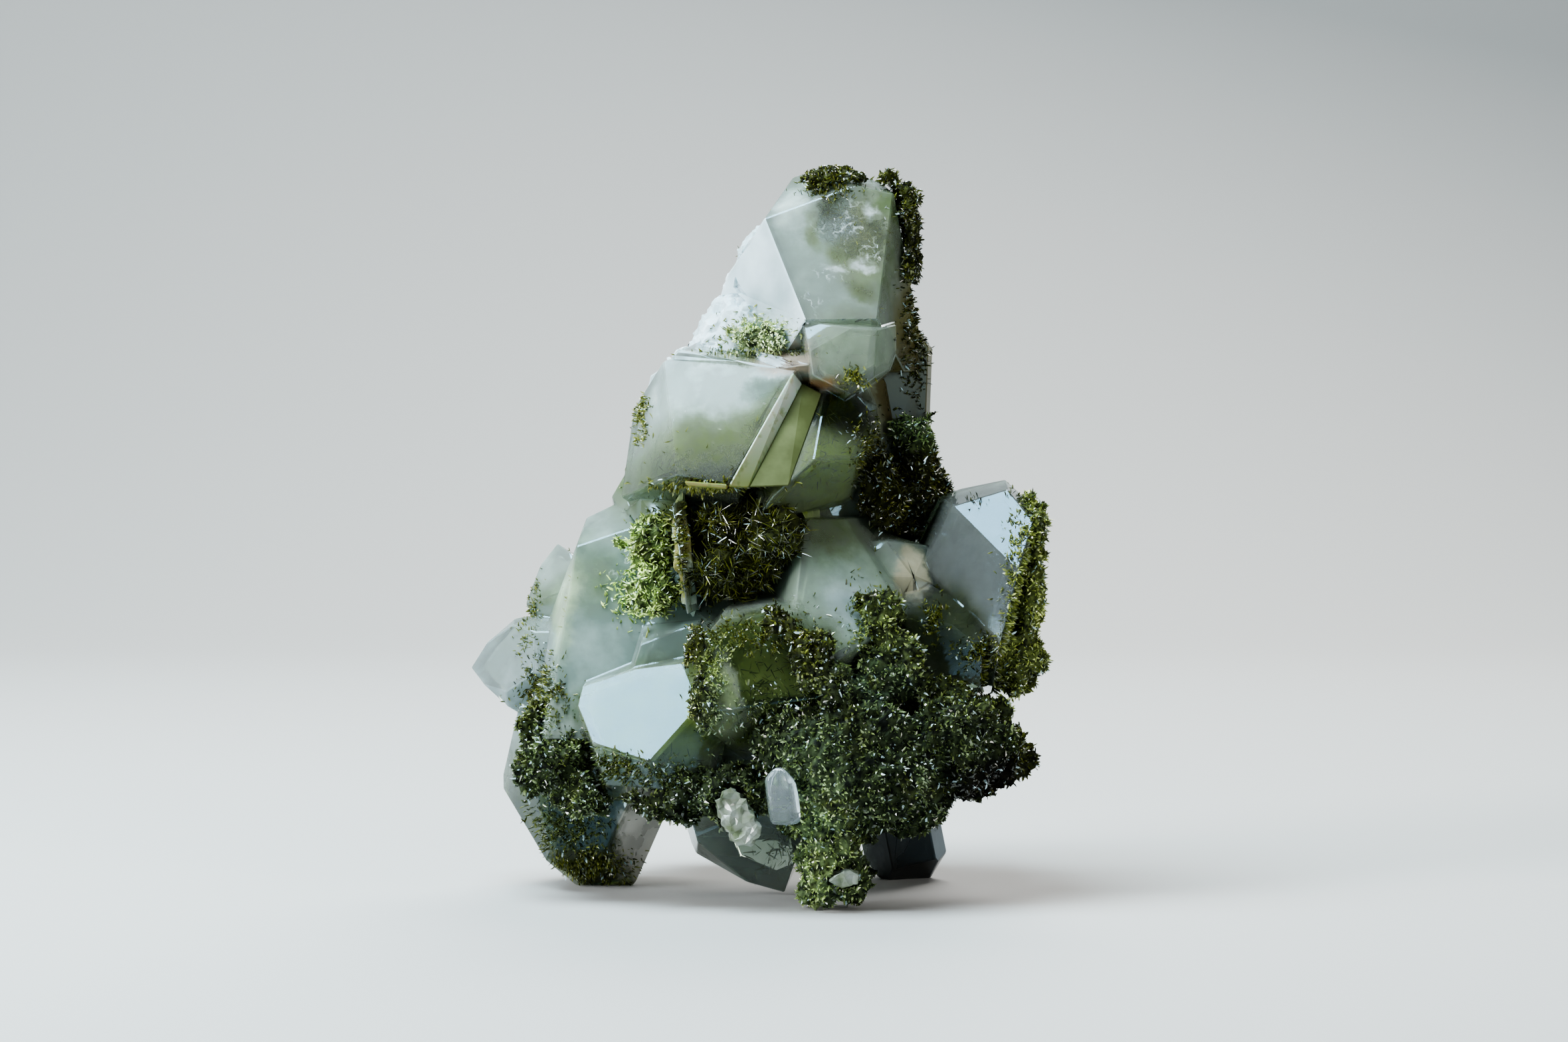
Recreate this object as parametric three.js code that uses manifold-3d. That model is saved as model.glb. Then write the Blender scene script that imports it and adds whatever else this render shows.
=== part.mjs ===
// Epidote in quartz: a hand piece of milky quartz crystals grown together into a steep group,
// with crusts of fine epidote needles on its faces and in its hollows.
// Millimetres, +Z up. The front of the group faces -Y, and it stands on three small feet at Z = 0.

import * as THREE from "three";
import { mergeVertices } from "three/addons/utils/BufferGeometryUtils.js";
import Module from "manifold-3d";

const wasm = await Module();
wasm.setup();

// Driving dimensions
const GAP = 0.3;
const BLOCK = 160;
const SPINE_WIDTH = 1.3;
const SPINE_LENGTH = 2.2;
const SPINE_DENSITY = 0.27;
const SPINE_LEAN = 1.1;
const SMALLEST_EDGE = 0.2;
const FINE_LUMP_SIZE = 6;
const RHOMB_TILT = THREE.MathUtils.degToRad(51.8);
const RHOMB_SET_BACK = 0.16;
const MERGE_DISTANCE = 1e-5;
const CENTRE_SHIFT = [0.16, -1.22, 0];

// Solids and meshes
function solidOf(geometry) {
  geometry.deleteAttribute("normal");
  geometry.deleteAttribute("uv");
  const merged = mergeVertices(geometry, MERGE_DISTANCE);
  const vertProperties = new Float32Array(merged.attributes.position.array);
  const triVerts = new Uint32Array(merged.index.array);
  return new wasm.Manifold(new wasm.Mesh({ numProp: 3, vertProperties, triVerts }));
}

function meshOf(name, solid, look) {
  const { vertProperties, triVerts } = solid.getMesh();
  const geometry = new THREE.BufferGeometry();
  geometry.setAttribute("position", new THREE.BufferAttribute(vertProperties, 3));
  geometry.setIndex(new THREE.BufferAttribute(triVerts, 1));
  geometry.computeVertexNormals();
  const mesh = new THREE.Mesh(geometry, new THREE.MeshStandardMaterial(look));
  mesh.name = name;
  return mesh;
}

const joined = (solids) => solids.reduce((all, one) => all.add(one));

// The largest body of a solid, without the crumbs that a cut leaves beside it
function mainBody(solid) {
  return solid.decompose().reduce((most, one) => (one.volume() > most.volume() ? one : most));
}

// Repeatable random numbers, and a smooth noise over space between -1 and 1
function randomFrom(seed) {
  let state = seed * 7919 + 13;
  return () => {
    state = (state * 1664525 + 1013904223) % 4294967296;
    return state / 4294967296;
  };
}

function latticeValue(i, j, k) {
  const wave = Math.sin(i * 127.1 + j * 311.7 + k * 74.7) * 43758.5453;
  return 2 * (wave - Math.floor(wave)) - 1;
}

function noise(x, y, z) {
  const [i, j, k] = [Math.floor(x), Math.floor(y), Math.floor(z)];
  const ease = (t) => t * t * (3 - 2 * t);
  const [u, v, w] = [ease(x - i), ease(y - j), ease(z - k)];
  const mix = THREE.MathUtils.lerp;
  const edge = (b, c) => mix(latticeValue(i, j + b, k + c), latticeValue(i + 1, j + b, k + c), u);
  return mix(mix(edge(0, 0), edge(1, 0), v), mix(edge(0, 1), edge(1, 1), v), w);
}

// A solid that flat faces close in, each face pushed out by `grown`
function withinFaces(planes, grown = 0) {
  let solid = solidOf(new THREE.BoxGeometry(BLOCK, BLOCK, BLOCK));
  for (const { normal, constant } of planes) {
    solid = solid.trimByPlane([-normal.x, -normal.y, -normal.z], constant - grown);
  }
  return solid;
}

// Faces of a crystal from its named corners: each face runs through three of them, away from the heart
function facesOf({ heart, corners, faces }) {
  const inside = new THREE.Vector3(...heart);
  return faces.map((names) => {
    const three = names.split(" ").map((name) => new THREE.Vector3(...corners[name]));
    const plane = new THREE.Plane().setFromCoplanarPoints(...three);
    return plane.distanceToPoint(inside) > 0 ? plane.negate() : plane;
  });
}

// Faces of a plain six-sided quartz point, from its root along its axis to its tip.
// Every second end face is set back, and the sides lie unevenly from the axis, as on real points.
function pointFaces({ root, tip, width, turn = 0, uneven = 0.12 }) {
  const start = new THREE.Vector3(...root);
  const end = new THREE.Vector3(...tip);
  const axis = end.clone().sub(start).normalize();
  const across = new THREE.Vector3(0.31, 0.95, 0.05).cross(axis).normalize();
  const planes = [];
  for (let side = 0; side < 6; side += 1) {
    const out = across.clone().applyAxisAngle(axis, turn + (side * Math.PI) / 3);
    const reach = (width / 2) * (1 + uneven * Math.sin(side * 2.3 + turn * 5));
    const flank = start.clone().addScaledVector(out, reach);
    planes.push(new THREE.Plane().setFromNormalAndCoplanarPoint(out, flank));
    const slope = out.clone().multiplyScalar(Math.sin(RHOMB_TILT));
    slope.addScaledVector(axis, Math.cos(RHOMB_TILT));
    const peak = end.clone().addScaledVector(axis, side % 2 ? width * RHOMB_SET_BACK : 0);
    planes.push(new THREE.Plane().setFromNormalAndCoplanarPoint(slope, peak));
  }
  planes.push(new THREE.Plane().setFromNormalAndCoplanarPoint(axis.clone().negate(), start));
  return planes;
}

// A rough lump: an ellipsoid of flat faces with uneven radii
function lump([x, y, z, rx, ry = rx, rz = rx], { rough = 0.16, detail = 2, grain = 1.7 } = {}, grown = 0) {
  const geometry = new THREE.IcosahedronGeometry(1, detail);
  const place = geometry.attributes.position;
  const v = new THREE.Vector3();
  for (let n = 0; n < place.count; n += 1) {
    v.fromBufferAttribute(place, n);
    const swell = 1 + rough * noise(v.x * grain + x, v.y * grain + y, v.z * grain + z);
    const [sx, sy, sz] = [rx, ry, rz].map((r) => r * swell + grown);
    place.setXYZ(n, x + v.x * sx, y + v.y * sy, z + v.z * sz);
  }
  return solidOf(geometry);
}

// Quartz crystals that show from the front, by the corners of their faces
const TOP_CRYSTAL = {
  heart: [7, 4, 60],
  corners: {
    shoulder: [0.3, 1, 64.7],
    crestLeft: [3.1, 8, 69],
    crestPeak: [6.9, 9, 69.8],
    crestRight: [11.8, 8, 68.5],
    foldRight: [9.1, 3, 68],
    upperRight: [12.8, 3, 67.5],
    waistRight: [11.6, -0.8, 59.4],
    backRight: [14.2, 4.5, 58.5],
    footLeft: [4.2, -3, 54.9],
    footRight: [11.6, -2.6, 55.1],
    flank: [-3.7, 7, 58.6],
    rearLeft: [1, 14, 60],
    rearRight: [13, 13, 60],
    rootRear: [8, 6, 46],
    rootLeft: [2, 8, 50],
    rootRight: [13, 8, 50],
    rootFront: [7, -4, 50],
  },
  faces: [
    "shoulder foldRight footLeft",
    "shoulder crestLeft foldRight",
    "shoulder crestLeft flank",
    "shoulder footLeft flank",
    "upperRight waistRight backRight",
    "foldRight crestRight crestPeak",
    "crestLeft crestPeak rearLeft",
    "crestPeak crestRight rearRight",
    "crestLeft rearLeft flank",
    "crestRight upperRight rearRight",
    "footLeft footRight rootRear",
    "rootLeft rootRight rootFront",
  ],
};

const SMALL_CRYSTAL = {
  heart: [8.5, -0.5, 51.5],
  corners: {
    mirrorLeft: [3.8, -2, 54.9],
    mirrorRight: [8.5, -3.9, 54.2],
    mirrorLow: [4.6, -4.7, 52],
    topBack: [11.3, 2, 55],
    cornerHigh: [11.3, -3.2, 54.1],
    cornerLow: [11.2, -3.4, 49.8],
    sideRight: [13, 0, 52],
    sideHigh: [12.8, 2, 53.9],
    lowRight: [12.3, -1, 50.2],
    toeRight: [9, -4, 48.1],
    toe: [8.2, -4.7, 48],
    toeLeft: [4.9, -4.9, 49.7],
    rearLow: [7, 3, 46],
    rearHigh: [8, 6, 54],
    rearSide: [12.5, 6, 50],
    leftBack: [3.9, 2, 51],
  },
  faces: [
    "mirrorLeft mirrorRight mirrorLow",
    "mirrorRight mirrorLow toe",
    "mirrorLeft mirrorRight topBack",
    "cornerHigh cornerLow sideRight",
    "mirrorLow toeLeft leftBack",
    "toeLeft toe rearLow",
    "toeRight lowRight rearLow",
    "sideRight lowRight rearSide",
    "sideRight sideHigh rearSide",
    "rearHigh rearSide rearLow",
  ],
};

const MIDDLE_LEFT_CRYSTAL = {
  heart: [-4, -1, 46],
  corners: {
    left: [-9.4, -1, 51],
    peakLeft: [-7.7, -0.5, 52],
    backLeft: [-8.5, 5, 51.6],
    peakRight: [3.3, -3, 50.1],
    backRight: [-0.5, 3, 51.8],
    bevelTop: [3.8, -1, 48.9],
    bevelLow: [-1.5, -6, 39.4],
    footRight: [-2.1, -8.4, 41],
    foot: [-4.2, -9, 39.7],
    footLeft: [-7.9, -8.2, 40.3],
    sideLow: [-11.8, 0, 40.7],
    sideRear: [-11.9, 4, 47],
    sideRearLow: [-11.6, 5, 41],
    ledge: [-4.1, -6, 38.6],
    rearRight: [3, 6, 45],
    rearLeft: [-9, 8, 45],
    rearTop: [-4, 7, 51],
  },
  faces: [
    "left peakRight foot",
    "peakRight footRight bevelLow",
    "left footLeft sideLow",
    "left backLeft sideRear",
    "sideRear sideRearLow rearLeft",
    "peakLeft peakRight backRight",
    "left peakLeft backLeft",
    "footLeft foot ledge",
    "bevelTop bevelLow rearRight",
    "rearRight rearLeft rearTop",
  ],
};

const GREEN_CRYSTAL = {
  heart: [5, -3, 42],
  corners: {
    peak: [4.6, -3, 49.2],
    peakRight: [7.2, -2, 48.9],
    peakBack: [5, 4, 50],
    shoulder: [11.4, -1, 45],
    sideRight: [12.2, 0, 43.4],
    nose: [3.7, -10, 41.8],
    ridgeRight: [9.2, -6, 41.7],
    footRight: [8.4, -2.5, 37.9],
    foot: [1.2, -5.6, 36],
    ridgeLeft: [1.1, -8, 38.2],
    sideLeft: [-1.1, -4, 38.8],
    rearLow: [4, 2, 35.5],
    rearLeft: [-2, 4, 44],
    rearRight: [11, 5, 42],
  },
  faces: [
    "peak nose ridgeLeft",
    "peak nose ridgeRight",
    "nose ridgeLeft ridgeRight",
    "ridgeRight shoulder footRight",
    "peak peakRight peakBack",
    "shoulder sideRight rearRight",
    "foot footRight rearLow",
    "ridgeLeft sideLeft rearLeft",
    "foot sideLeft rearLow",
    "rearLeft rearRight peakBack",
  ],
};

const LEFT_CRYSTAL = {
  heart: [-13, 1, 26],
  corners: {
    crestLeft: [-18.3, 3, 35.2],
    crestRight: [-13.2, 6.4, 36.9],
    brow: [-17.8, -1, 33.2],
    browRight: [-14.1, 0, 34.4],
    sideHigh: [-19.3, 3.6, 31.9],
    foot: [-17.4, -7, 19.9],
    sideLow: [-22.4, -7.4, 20.3],
    sideRear: [-21.8, 4, 23],
    rear: [-14, 9, 33],
    rearLow: [-16, 9, 20],
    rearRight: [-6, 9, 28],
    right: [-6.2, -3, 27],
    rightLow: [-5.5, -6, 20],
    root: [-16, -5, 15],
    rootRight: [-8, -5, 15],
    rootRear: [-12, 6, 14],
  },
  faces: [
    "brow browRight foot",
    "crestLeft brow browRight",
    "crestLeft brow sideHigh",
    "brow sideLow sideRear",
    "crestLeft sideHigh sideRear",
    "crestLeft crestRight rear",
    "rear rearLow rearRight",
    "sideRear rearLow rear",
    "crestRight right rearRight",
    "right rightLow rearRight",
    "root rootRight rootRear",
  ],
};

const LEFT_STEP = {
  heart: [-9, -4.5, 24],
  corners: {
    left: [-11.4, -7, 24.2],
    leftLow: [-12.3, -7.6, 21.4],
    right: [-5.7, -6, 26.3],
    rightLow: [-5, -7.4, 21],
    rearTop: [-9, -1, 27.5],
    rearLeft: [-12.5, -1, 23],
    rearRight: [-4, -1, 26],
    under: [-9, -2, 18],
    underLeft: [-12.2, -6, 19],
    underRight: [-5, -6, 18.6],
    rear: [-8, 0, 20],
  },
  faces: [
    "left leftLow right",
    "left right rearTop",
    "left leftLow rearLeft",
    "right rightLow rearRight",
    "underLeft underRight under",
    "rear rearLeft rearRight",
  ],
};

const MIRROR_CRYSTAL = {
  heart: [-10, -7, 16],
  corners: {
    mirrorHigh: [-16.9, -7.9, 20.3],
    mirrorTop: [-11.8, -7.9, 22],
    mirrorRight: [-7.4, -8.7, 22.6],
    mirrorCorner: [-5.8, -12.4, 19.1],
    mirrorFoot: [-10.3, -15.2, 13.9],
    mirrorSide: [-15.8, -12.4, 15.6],
    mirrorSideHigh: [-17.3, -9.4, 18.7],
    footLeft: [-13.9, -12.2, 11.4],
    foot: [-11.8, -13.2, 11.3],
    rightLow: [-7.4, -13.6, 12],
    right: [-3.4, -11, 15],
    rightBack: [-4.4, -6, 20],
    rightUnder: [-5.6, -9, 9.8],
    sideRear: [-16.4, -3, 13],
    rearTop: [-12, -2, 23],
    under: [-11, -7, 9.4],
    underRight: [-5, -8, 9.8],
    underRear: [-11, -1, 9],
    rear: [-10, 1, 16],
    rearRight: [-3, 1, 16],
    rearHigh: [-8, 0, 22],
  },
  faces: [
    "mirrorHigh mirrorRight mirrorFoot",
    "mirrorFoot mirrorSide footLeft",
    "mirrorSide mirrorSideHigh sideRear",
    "mirrorHigh mirrorSideHigh sideRear",
    "mirrorHigh mirrorTop rearTop",
    "mirrorTop mirrorRight rearTop",
    "mirrorRight mirrorCorner rightBack",
    "mirrorCorner mirrorFoot rightLow",
    "right rightBack rightUnder",
    "under underRight underRear",
    "footLeft foot under",
    "rear rearRight rearHigh",
  ],
};

const CENTRE_CRYSTAL = {
  heart: [8, -5, 28],
  corners: {
    topLeft: [3.9, -7, 33.5],
    topRight: [10.2, -5, 32.6],
    left: [3.2, -11.9, 27.9],
    leftBack: [1.6, -4, 30],
    tip: [7.2, -14, 23.2],
    tipLeft: [5.2, -13.6, 25],
    tipRear: [5, -6, 21],
    edge: [11.6, -7, 29.8],
    rightHigh: [12.4, -2, 32.8],
    right: [13.2, -4, 30.3],
    rightLow: [13.6, -8, 27.3],
    rightRear: [14, 2, 29],
    rightFoot: [11, -4, 21.5],
    crestLeft: [5, -4, 36],
    crestRight: [10, -1.5, 36],
    crestRear: [6, 2, 36.2],
    rear: [4, 3, 28],
    rearRight: [12, 3, 28],
    rearHigh: [8, 2.6, 34],
  },
  faces: [
    "topLeft topRight tip",
    "topLeft left leftBack",
    "topRight edge right",
    "rightHigh rightLow rightRear",
    "tip tipLeft tipRear",
    "tip rightLow rightFoot",
    "tipRear rightFoot tip",
    "crestLeft crestRight crestRear",
    "rear rearRight rearHigh",
  ],
};

const RIGHT_CRYSTAL = {
  heart: [20, 0, 31],
  corners: {
    mirrorLeft: [18.3, -4, 37.2],
    mirrorTop: [23.5, -4.1, 38.8],
    mirrorRight: [25.8, -6.9, 35.9],
    mirrorFoot: [24.2, -10, 31.3],
    left: [17.2, -4, 34.8],
    leftBack: [16.4, 4, 36],
    leftLow: [15.5, -3, 31.6],
    elbow: [18.9, -6.5, 28.3],
    crest: [19.5, 4, 38.6],
    topBack: [24, 2, 39.2],
    rightHigh: [26.2, 0, 36.5],
    right: [24.6, 0, 27],
    rearHigh: [21, 8, 36],
    rear: [17, 7, 28],
    rearRight: [25, 6, 30],
    under: [17, -4, 22],
    underRight: [24, -4, 19],
    underRear: [19, 4, 20],
    underLeft: [16, 2, 25],
  },
  faces: [
    "mirrorLeft mirrorTop mirrorFoot",
    "mirrorLeft mirrorFoot elbow",
    "mirrorLeft left leftBack",
    "leftLow elbow underLeft",
    "mirrorLeft mirrorTop crest",
    "mirrorTop mirrorRight rightHigh",
    "mirrorFoot mirrorRight right",
    "topBack crest rearHigh",
    "rightHigh right rearRight",
    "rearHigh rear rearRight",
    "leftBack rear crest",
    "under underRight underRear",
  ],
};

const DARK_CRYSTAL = {
  heart: [17, -3, 25],
  corners: {
    topLeft: [15, -3.6, 30.4],
    top: [17.3, -5, 29.2],
    topRight: [19.1, -6.4, 28.1],
    right: [21, -8.6, 24.6],
    nose: [17.5, -9, 25.6],
    left: [13.8, -7, 27.3],
    leftLow: [13.5, -7, 21],
    leftRear: [13, 1, 25],
    rear: [17, 3, 28],
    rearRight: [21, 3, 25],
    rearLow: [17, 3, 20],
    underFront: [17, -8, 19],
    underRight: [21, -5, 20],
    rightRear: [21.6, 0, 23],
  },
  faces: [
    "topLeft top nose",
    "topRight right nose",
    "topLeft left nose",
    "left leftLow leftRear",
    "left leftLow underFront",
    "right nose underFront",
    "right underRight rightRear",
    "topLeft topRight rear",
    "rear rearRight rearLow",
    "underFront underRight rearLow",
  ],
};

const TAN_CRYSTAL = {
  heart: [14, -1.6, 30.4],
  corners: {
    top: [13.4, -2, 33],
    topRight: [15, -1.6, 31.8],
    right: [15.4, -2, 30],
    lowRight: [14.8, -3.6, 28],
    low: [13.7, -4.4, 27.7],
    left: [12.7, -3.6, 31.2],
    nose: [14.6, -5, 30.2],
    rear: [14, 1.5, 31],
    rearLow: [13.5, 1, 28],
    rearRight: [15.5, 1, 29.5],
    rearLeft: [12, 1, 30],
  },
  faces: [
    "top topRight nose",
    "right lowRight nose",
    "top left nose",
    "left low nose",
    "topRight right nose",
    "low lowRight rearLow",
    "top topRight rear",
    "right lowRight rearRight",
    "left low rearLeft",
    "rear rearLow rearRight",
  ],
};

const FRONT_BLOCK = {
  heart: [0, -9, 21],
  corners: {
    topLeft: [-3.8, -12.2, 27],
    topRight: [3.5, -12.8, 27.9],
    topRear: [0, -5, 28.6],
    right: [7.3, -14.6, 22.8],
    rightRear: [6, -5, 24],
    left: [-6.9, -12.6, 23.2],
    leftRear: [-6.4, -5, 24],
    chin: [-3.4, -17.8, 17],
    toe: [-1.2, -18, 15.6],
    toeRight: [3.6, -17, 16],
    sideLow: [-5.6, -11, 14],
    under: [-1, -9, 13],
    underRight: [5, -9, 14],
    rightLow: [6.4, -12, 17],
    rear: [0, -1, 20],
    rearRight: [6, -1, 18],
    rearTop: [0, -2, 27],
  },
  faces: [
    "topLeft topRight toe",
    "topLeft topRight topRear",
    "topLeft left chin",
    "topLeft left leftRear",
    "left chin sideLow",
    "topRight right rightRear",
    "topRight right toeRight",
    "right rightLow rightRear",
    "chin toe under",
    "toeRight rightLow underRight",
    "left sideLow leftRear",
    "under underRight sideLow",
    "rear rearRight rearTop",
  ],
};

const BOTTOM_LEFT_CRYSTAL = {
  heart: [-17, 4, 10],
  corners: {
    sideHigh: [-25.2, 3, 10.8],
    side: [-25.4, 3, 9.4],
    shoulder: [-21.4, 3, 17.4],
    sideFront: [-22, -3, 12],
    slopeLow: [-18.7, 3, 0.8],
    slopeRear: [-20, 9, 3.4],
    slopeFront: [-20.4, -2, 3.6],
    tip: [-14.4, 3.4, -0.8],
    frontHigh: [-11, -3, 12],
    frontLow: [-15, -2.6, 4],
    right: [-9.6, 2, 6.2],
    rightLow: [-12.2, 3, 0.6],
    rightHigh: [-9, 2, 12],
    rearLow: [-14, 8, 4],
    rearHigh: [-16, 10, 12],
    rearLeft: [-24, 8, 10],
    rearRight: [-10, 8, 11],
    rootLeft: [-20, 2, 18],
    rootRight: [-10, 2, 18],
    rootRear: [-15, 8, 18],
  },
  faces: [
    "side slopeLow slopeRear",
    "sideHigh side rearLeft",
    "sideHigh shoulder rearLeft",
    "sideHigh sideFront slopeFront",
    "sideFront frontHigh frontLow",
    "frontLow slopeFront tip",
    "right rightLow rearRight",
    "frontHigh right frontLow",
    "right rightHigh rearRight",
    "rightLow rearLow tip",
    "rearLeft rearHigh slopeRear",
    "rearHigh rearRight rearLow",
    "rootLeft rootRight rootRear",
  ],
};

const NEST_BLADE = {
  heart: [-7.4, -4, 33],
  corners: {
    top: [-8.4, -6, 37.4],
    bend: [-7.2, -8.4, 33.6],
    foot: [-7, -9.6, 28],
    topRear: [-8.8, 2, 37],
    footRear: [-7.4, 2, 28],
    rightTop: [-7.2, -4, 37],
    rightFoot: [-5.9, -4, 29],
    rightRear: [-6.7, 2, 33],
    crownRear: [-7, 2, 38],
    sole: [-7, -2, 27.4],
    soleRear: [-6, 2, 27.6],
    soleLeft: [-8, 0, 27.4],
  },
  faces: [
    "top foot topRear",
    "rightTop rightFoot rightRear",
    "top bend rightTop",
    "bend foot rightFoot",
    "top topRear crownRear",
    "sole soleRear soleLeft",
    "topRear footRear crownRear",
  ],
};

const STAINED_PLATE = {
  heart: [2.4, -0.6, 51.2],
  corners: {
    left: [-0.6, 0.6, 52],
    top: [2.6, -0.6, 53.2],
    right: [4.5, -3, 52.1],
    low: [4.6, -4.2, 50.7],
    lowLeft: [2, -3.4, 50.8],
    rear: [2, 4, 52.6],
    rearLow: [2, 3, 49],
    side: [5.6, -1, 51],
    sideLow: [5, -1, 49],
    under: [1, -2, 49.4],
  },
  faces: [
    "left top low",
    "left lowLeft low",
    "left top rear",
    "top right rear",
    "right low side",
    "low lowLeft sideLow",
    "side sideLow rearLow",
    "left under lowLeft",
    "rear rearLow left",
  ],
};

const FACED_CRYSTALS = [
  TOP_CRYSTAL,
  SMALL_CRYSTAL,
  MIDDLE_LEFT_CRYSTAL,
  GREEN_CRYSTAL,
  LEFT_CRYSTAL,
  LEFT_STEP,
  MIRROR_CRYSTAL,
  CENTRE_CRYSTAL,
  RIGHT_CRYSTAL,
  DARK_CRYSTAL,
  TAN_CRYSTAL,
  FRONT_BLOCK,
  BOTTOM_LEFT_CRYSTAL,
  NEST_BLADE,
  STAINED_PLATE,
];

// Plain quartz points of the sides and of the hidden back
const PLAIN_POINTS = [
  { root: [10.6, 9, 40], tip: [11.3, 9.6, 59.6], width: 10.2, turn: 0.2 },
  { root: [-15, 8, 18], tip: [-20.2, 9, 33], width: 8.5, turn: 0.3 },
  { root: [-13, 5, 21], tip: [-28.5, 5.6, 21], width: 9.6, turn: 0.9 },
  { root: [-3, 1, 16], tip: [2.2, -5.2, 0.3], width: 12, turn: 0.55 },
  { root: [11.4, 5, 16], tip: [15, 9, -1.8], width: 7, turn: 0.1 },
  { root: [2, 6, 24], tip: [4, 21.5, 27], width: 15, turn: 0.4 },
  { root: [-8, 6, 30], tip: [-14, 18.5, 37], width: 12, turn: 0.8 },
  { root: [8, 6, 40], tip: [11, 19, 44], width: 11, turn: 0.15 },
  { root: [-2, 6, 44], tip: [-5, 18, 51], width: 11, turn: 0.6 },
  { root: [12, 4, 26], tip: [22, 16, 30], width: 11, turn: 0.35 },
  { root: [-6, 6, 16], tip: [-13, 19.5, 14], width: 12, turn: 0.75 },
  { root: [10, 6, 18], tip: [15, 19, 15], width: 11, turn: 0.5 },
];

// The massive white wall behind the crystals, and the inside that joins them
const WALL_LUMPS = [
  [3.2, 7.6, 58.4, 6, 6, 6.6],
  [-0.6, 8, 51.6, 6.6, 6.4, 6.4],
  [-3.6, 7, 44.4, 8.2, 6.4, 7.6],
  [-5.4, 6, 36, 8.6, 6.4, 8],
];
const WALL_ROUGH = { rough: 0.16, detail: 2, grain: 2.6 };
const CORE_LUMPS = [
  [5, 4, 44, 8, 5, 9],
  [2, 4, 34, 11, 6, 9],
  [0, 1, 22, 17, 9, 9],
  [0, 0, 14, 15, 10, 8],
  [12, 0, 26, 8, 6, 9],
];
const CORE_ROUGH = { rough: 0.1, detail: 1, grain: 1.5 };

function quartzSolid(grown) {
  const crystals = FACED_CRYSTALS.map((crystal) => withinFaces(facesOf(crystal), grown));
  const points = PLAIN_POINTS.map((one) => withinFaces(pointFaces(one), grown));
  const wall = WALL_LUMPS.map((one) => lump(one, WALL_ROUGH, grown));
  const core = CORE_LUMPS.map((one) => lump(one, CORE_ROUGH, grown));
  return joined([...crystals, ...points, ...wall, ...core]);
}

const quartz = quartzSolid(0);
const quartzWithGap = quartzSolid(GAP);

// Loose quartz bits that sit in the front crust: a flake, a small clear point and a chip on the foot.
// A plate is an outline in X and Z, from its front face back through its thickness.
function plate({ outline, front, thick, lean }, grown = 0) {
  const shape = new THREE.Shape(outline.map(([x, z]) => new THREE.Vector2(x, z)));
  const options = { depth: thick + 2 * grown, bevelEnabled: grown > 0, bevelSize: grown, bevelThickness: 0 };
  const geometry = new THREE.ExtrudeGeometry(shape, { ...options, bevelSegments: 1, steps: 1 });
  geometry.rotateX(Math.PI / 2);
  geometry.translate(0, front + thick + grown, 0);
  const hinge = outline[0][1];
  geometry.translate(0, -front, -hinge);
  geometry.rotateX(lean);
  geometry.translate(0, front, hinge);
  return solidOf(geometry);
}

const FLAKE = {
  outline: [[-4.3, 10.4], [-2.7, 11.9], [-1.4, 10.6], [0.1, 8], [-0.7, 6.3], [-2.1, 6.3], [-3.4, 8.1]],
  front: -17,
  thick: 2.6,
  lean: -0.12,
};
const CHIP = {
  outline: [[6.1, 3.2], [7.6, 4], [9.3, 3.7], [9.1, 2.7], [7.4, 2.3]],
  front: -17.6,
  thick: 2.2,
  lean: 0.1,
};
const CLEAR_POINT = { root: [2.3, -16.6, 8.3], tip: [1.7, -17.9, 14], width: 2.8, turn: 0.5 };

const bitsSolid = (grown) => ({
  quartz_flake: plate(FLAKE, grown),
  quartz_chip: plate(CHIP, grown),
  quartz_clear_point: withinFaces(pointFaces(CLEAR_POINT), grown),
});
const looseBits = bitsSolid(0);
const notEpidote = joined([quartzWithGap, ...Object.values(bitsSolid(GAP))]);

// An epidote spine: three sides and a sharp end, standing on the crust
function spine(foot, direction, length, width, turn) {
  const geometry = new THREE.ConeGeometry(width / 2, length, 3, 1);
  geometry.rotateY(turn);
  geometry.translate(0, length * 0.25, 0);
  const stand = new THREE.Quaternion().setFromUnitVectors(new THREE.Vector3(0, 1, 0), direction);
  geometry.applyQuaternion(stand);
  geometry.translate(foot.x, foot.y, foot.z);
  return solidOf(geometry);
}

// Spines spread evenly over one lump of a crust, each leaning its own way
function spinesOn([x, y, z, rx, ry = rx, rz = rx], count, random) {
  const spines = [];
  for (let n = 0; n < count; n += 1) {
    const height = 1 - (2 * (n + 0.5)) / count;
    const around = n * Math.PI * (3 - Math.sqrt(5)) + random();
    const radius = Math.sqrt(1 - height * height);
    const out = new THREE.Vector3(radius * Math.cos(around), radius * Math.sin(around), height);
    const foot = new THREE.Vector3(x + out.x * rx, y + out.y * ry, z + out.z * rz);
    const lean = new THREE.Vector3(random() - 0.5, random() - 0.5, random() - 0.5);
    const direction = out.addScaledVector(lean, SPINE_LEAN).normalize();
    const length = SPINE_LENGTH * (0.7 + 0.7 * random());
    spines.push(spine(foot, direction, length, SPINE_WIDTH * (0.8 + 0.5 * random()), random() * 3));
  }
  return spines;
}

// A crust: its lumps with their spines, cut back from the quartz that it grew on
function crust(lumps, { density = SPINE_DENSITY, seed = 1 } = {}) {
  const random = randomFrom(seed);
  const sizeOf = (one) => (one[3] + (one[4] ?? one[3]) + (one[5] ?? one[3])) / 3;
  const body = lumps.map((one) => lump(one, { rough: 0.3, detail: detailFor(sizeOf(one)), grain: 4.3 }));
  const spines = lumps.flatMap((one) => spinesOn(one, Math.round(density * sizeOf(one) ** 2), random));
  return mainBody(joined([...body, ...spines]).simplify(SMALLEST_EDGE).subtract(notEpidote));
}

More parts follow.
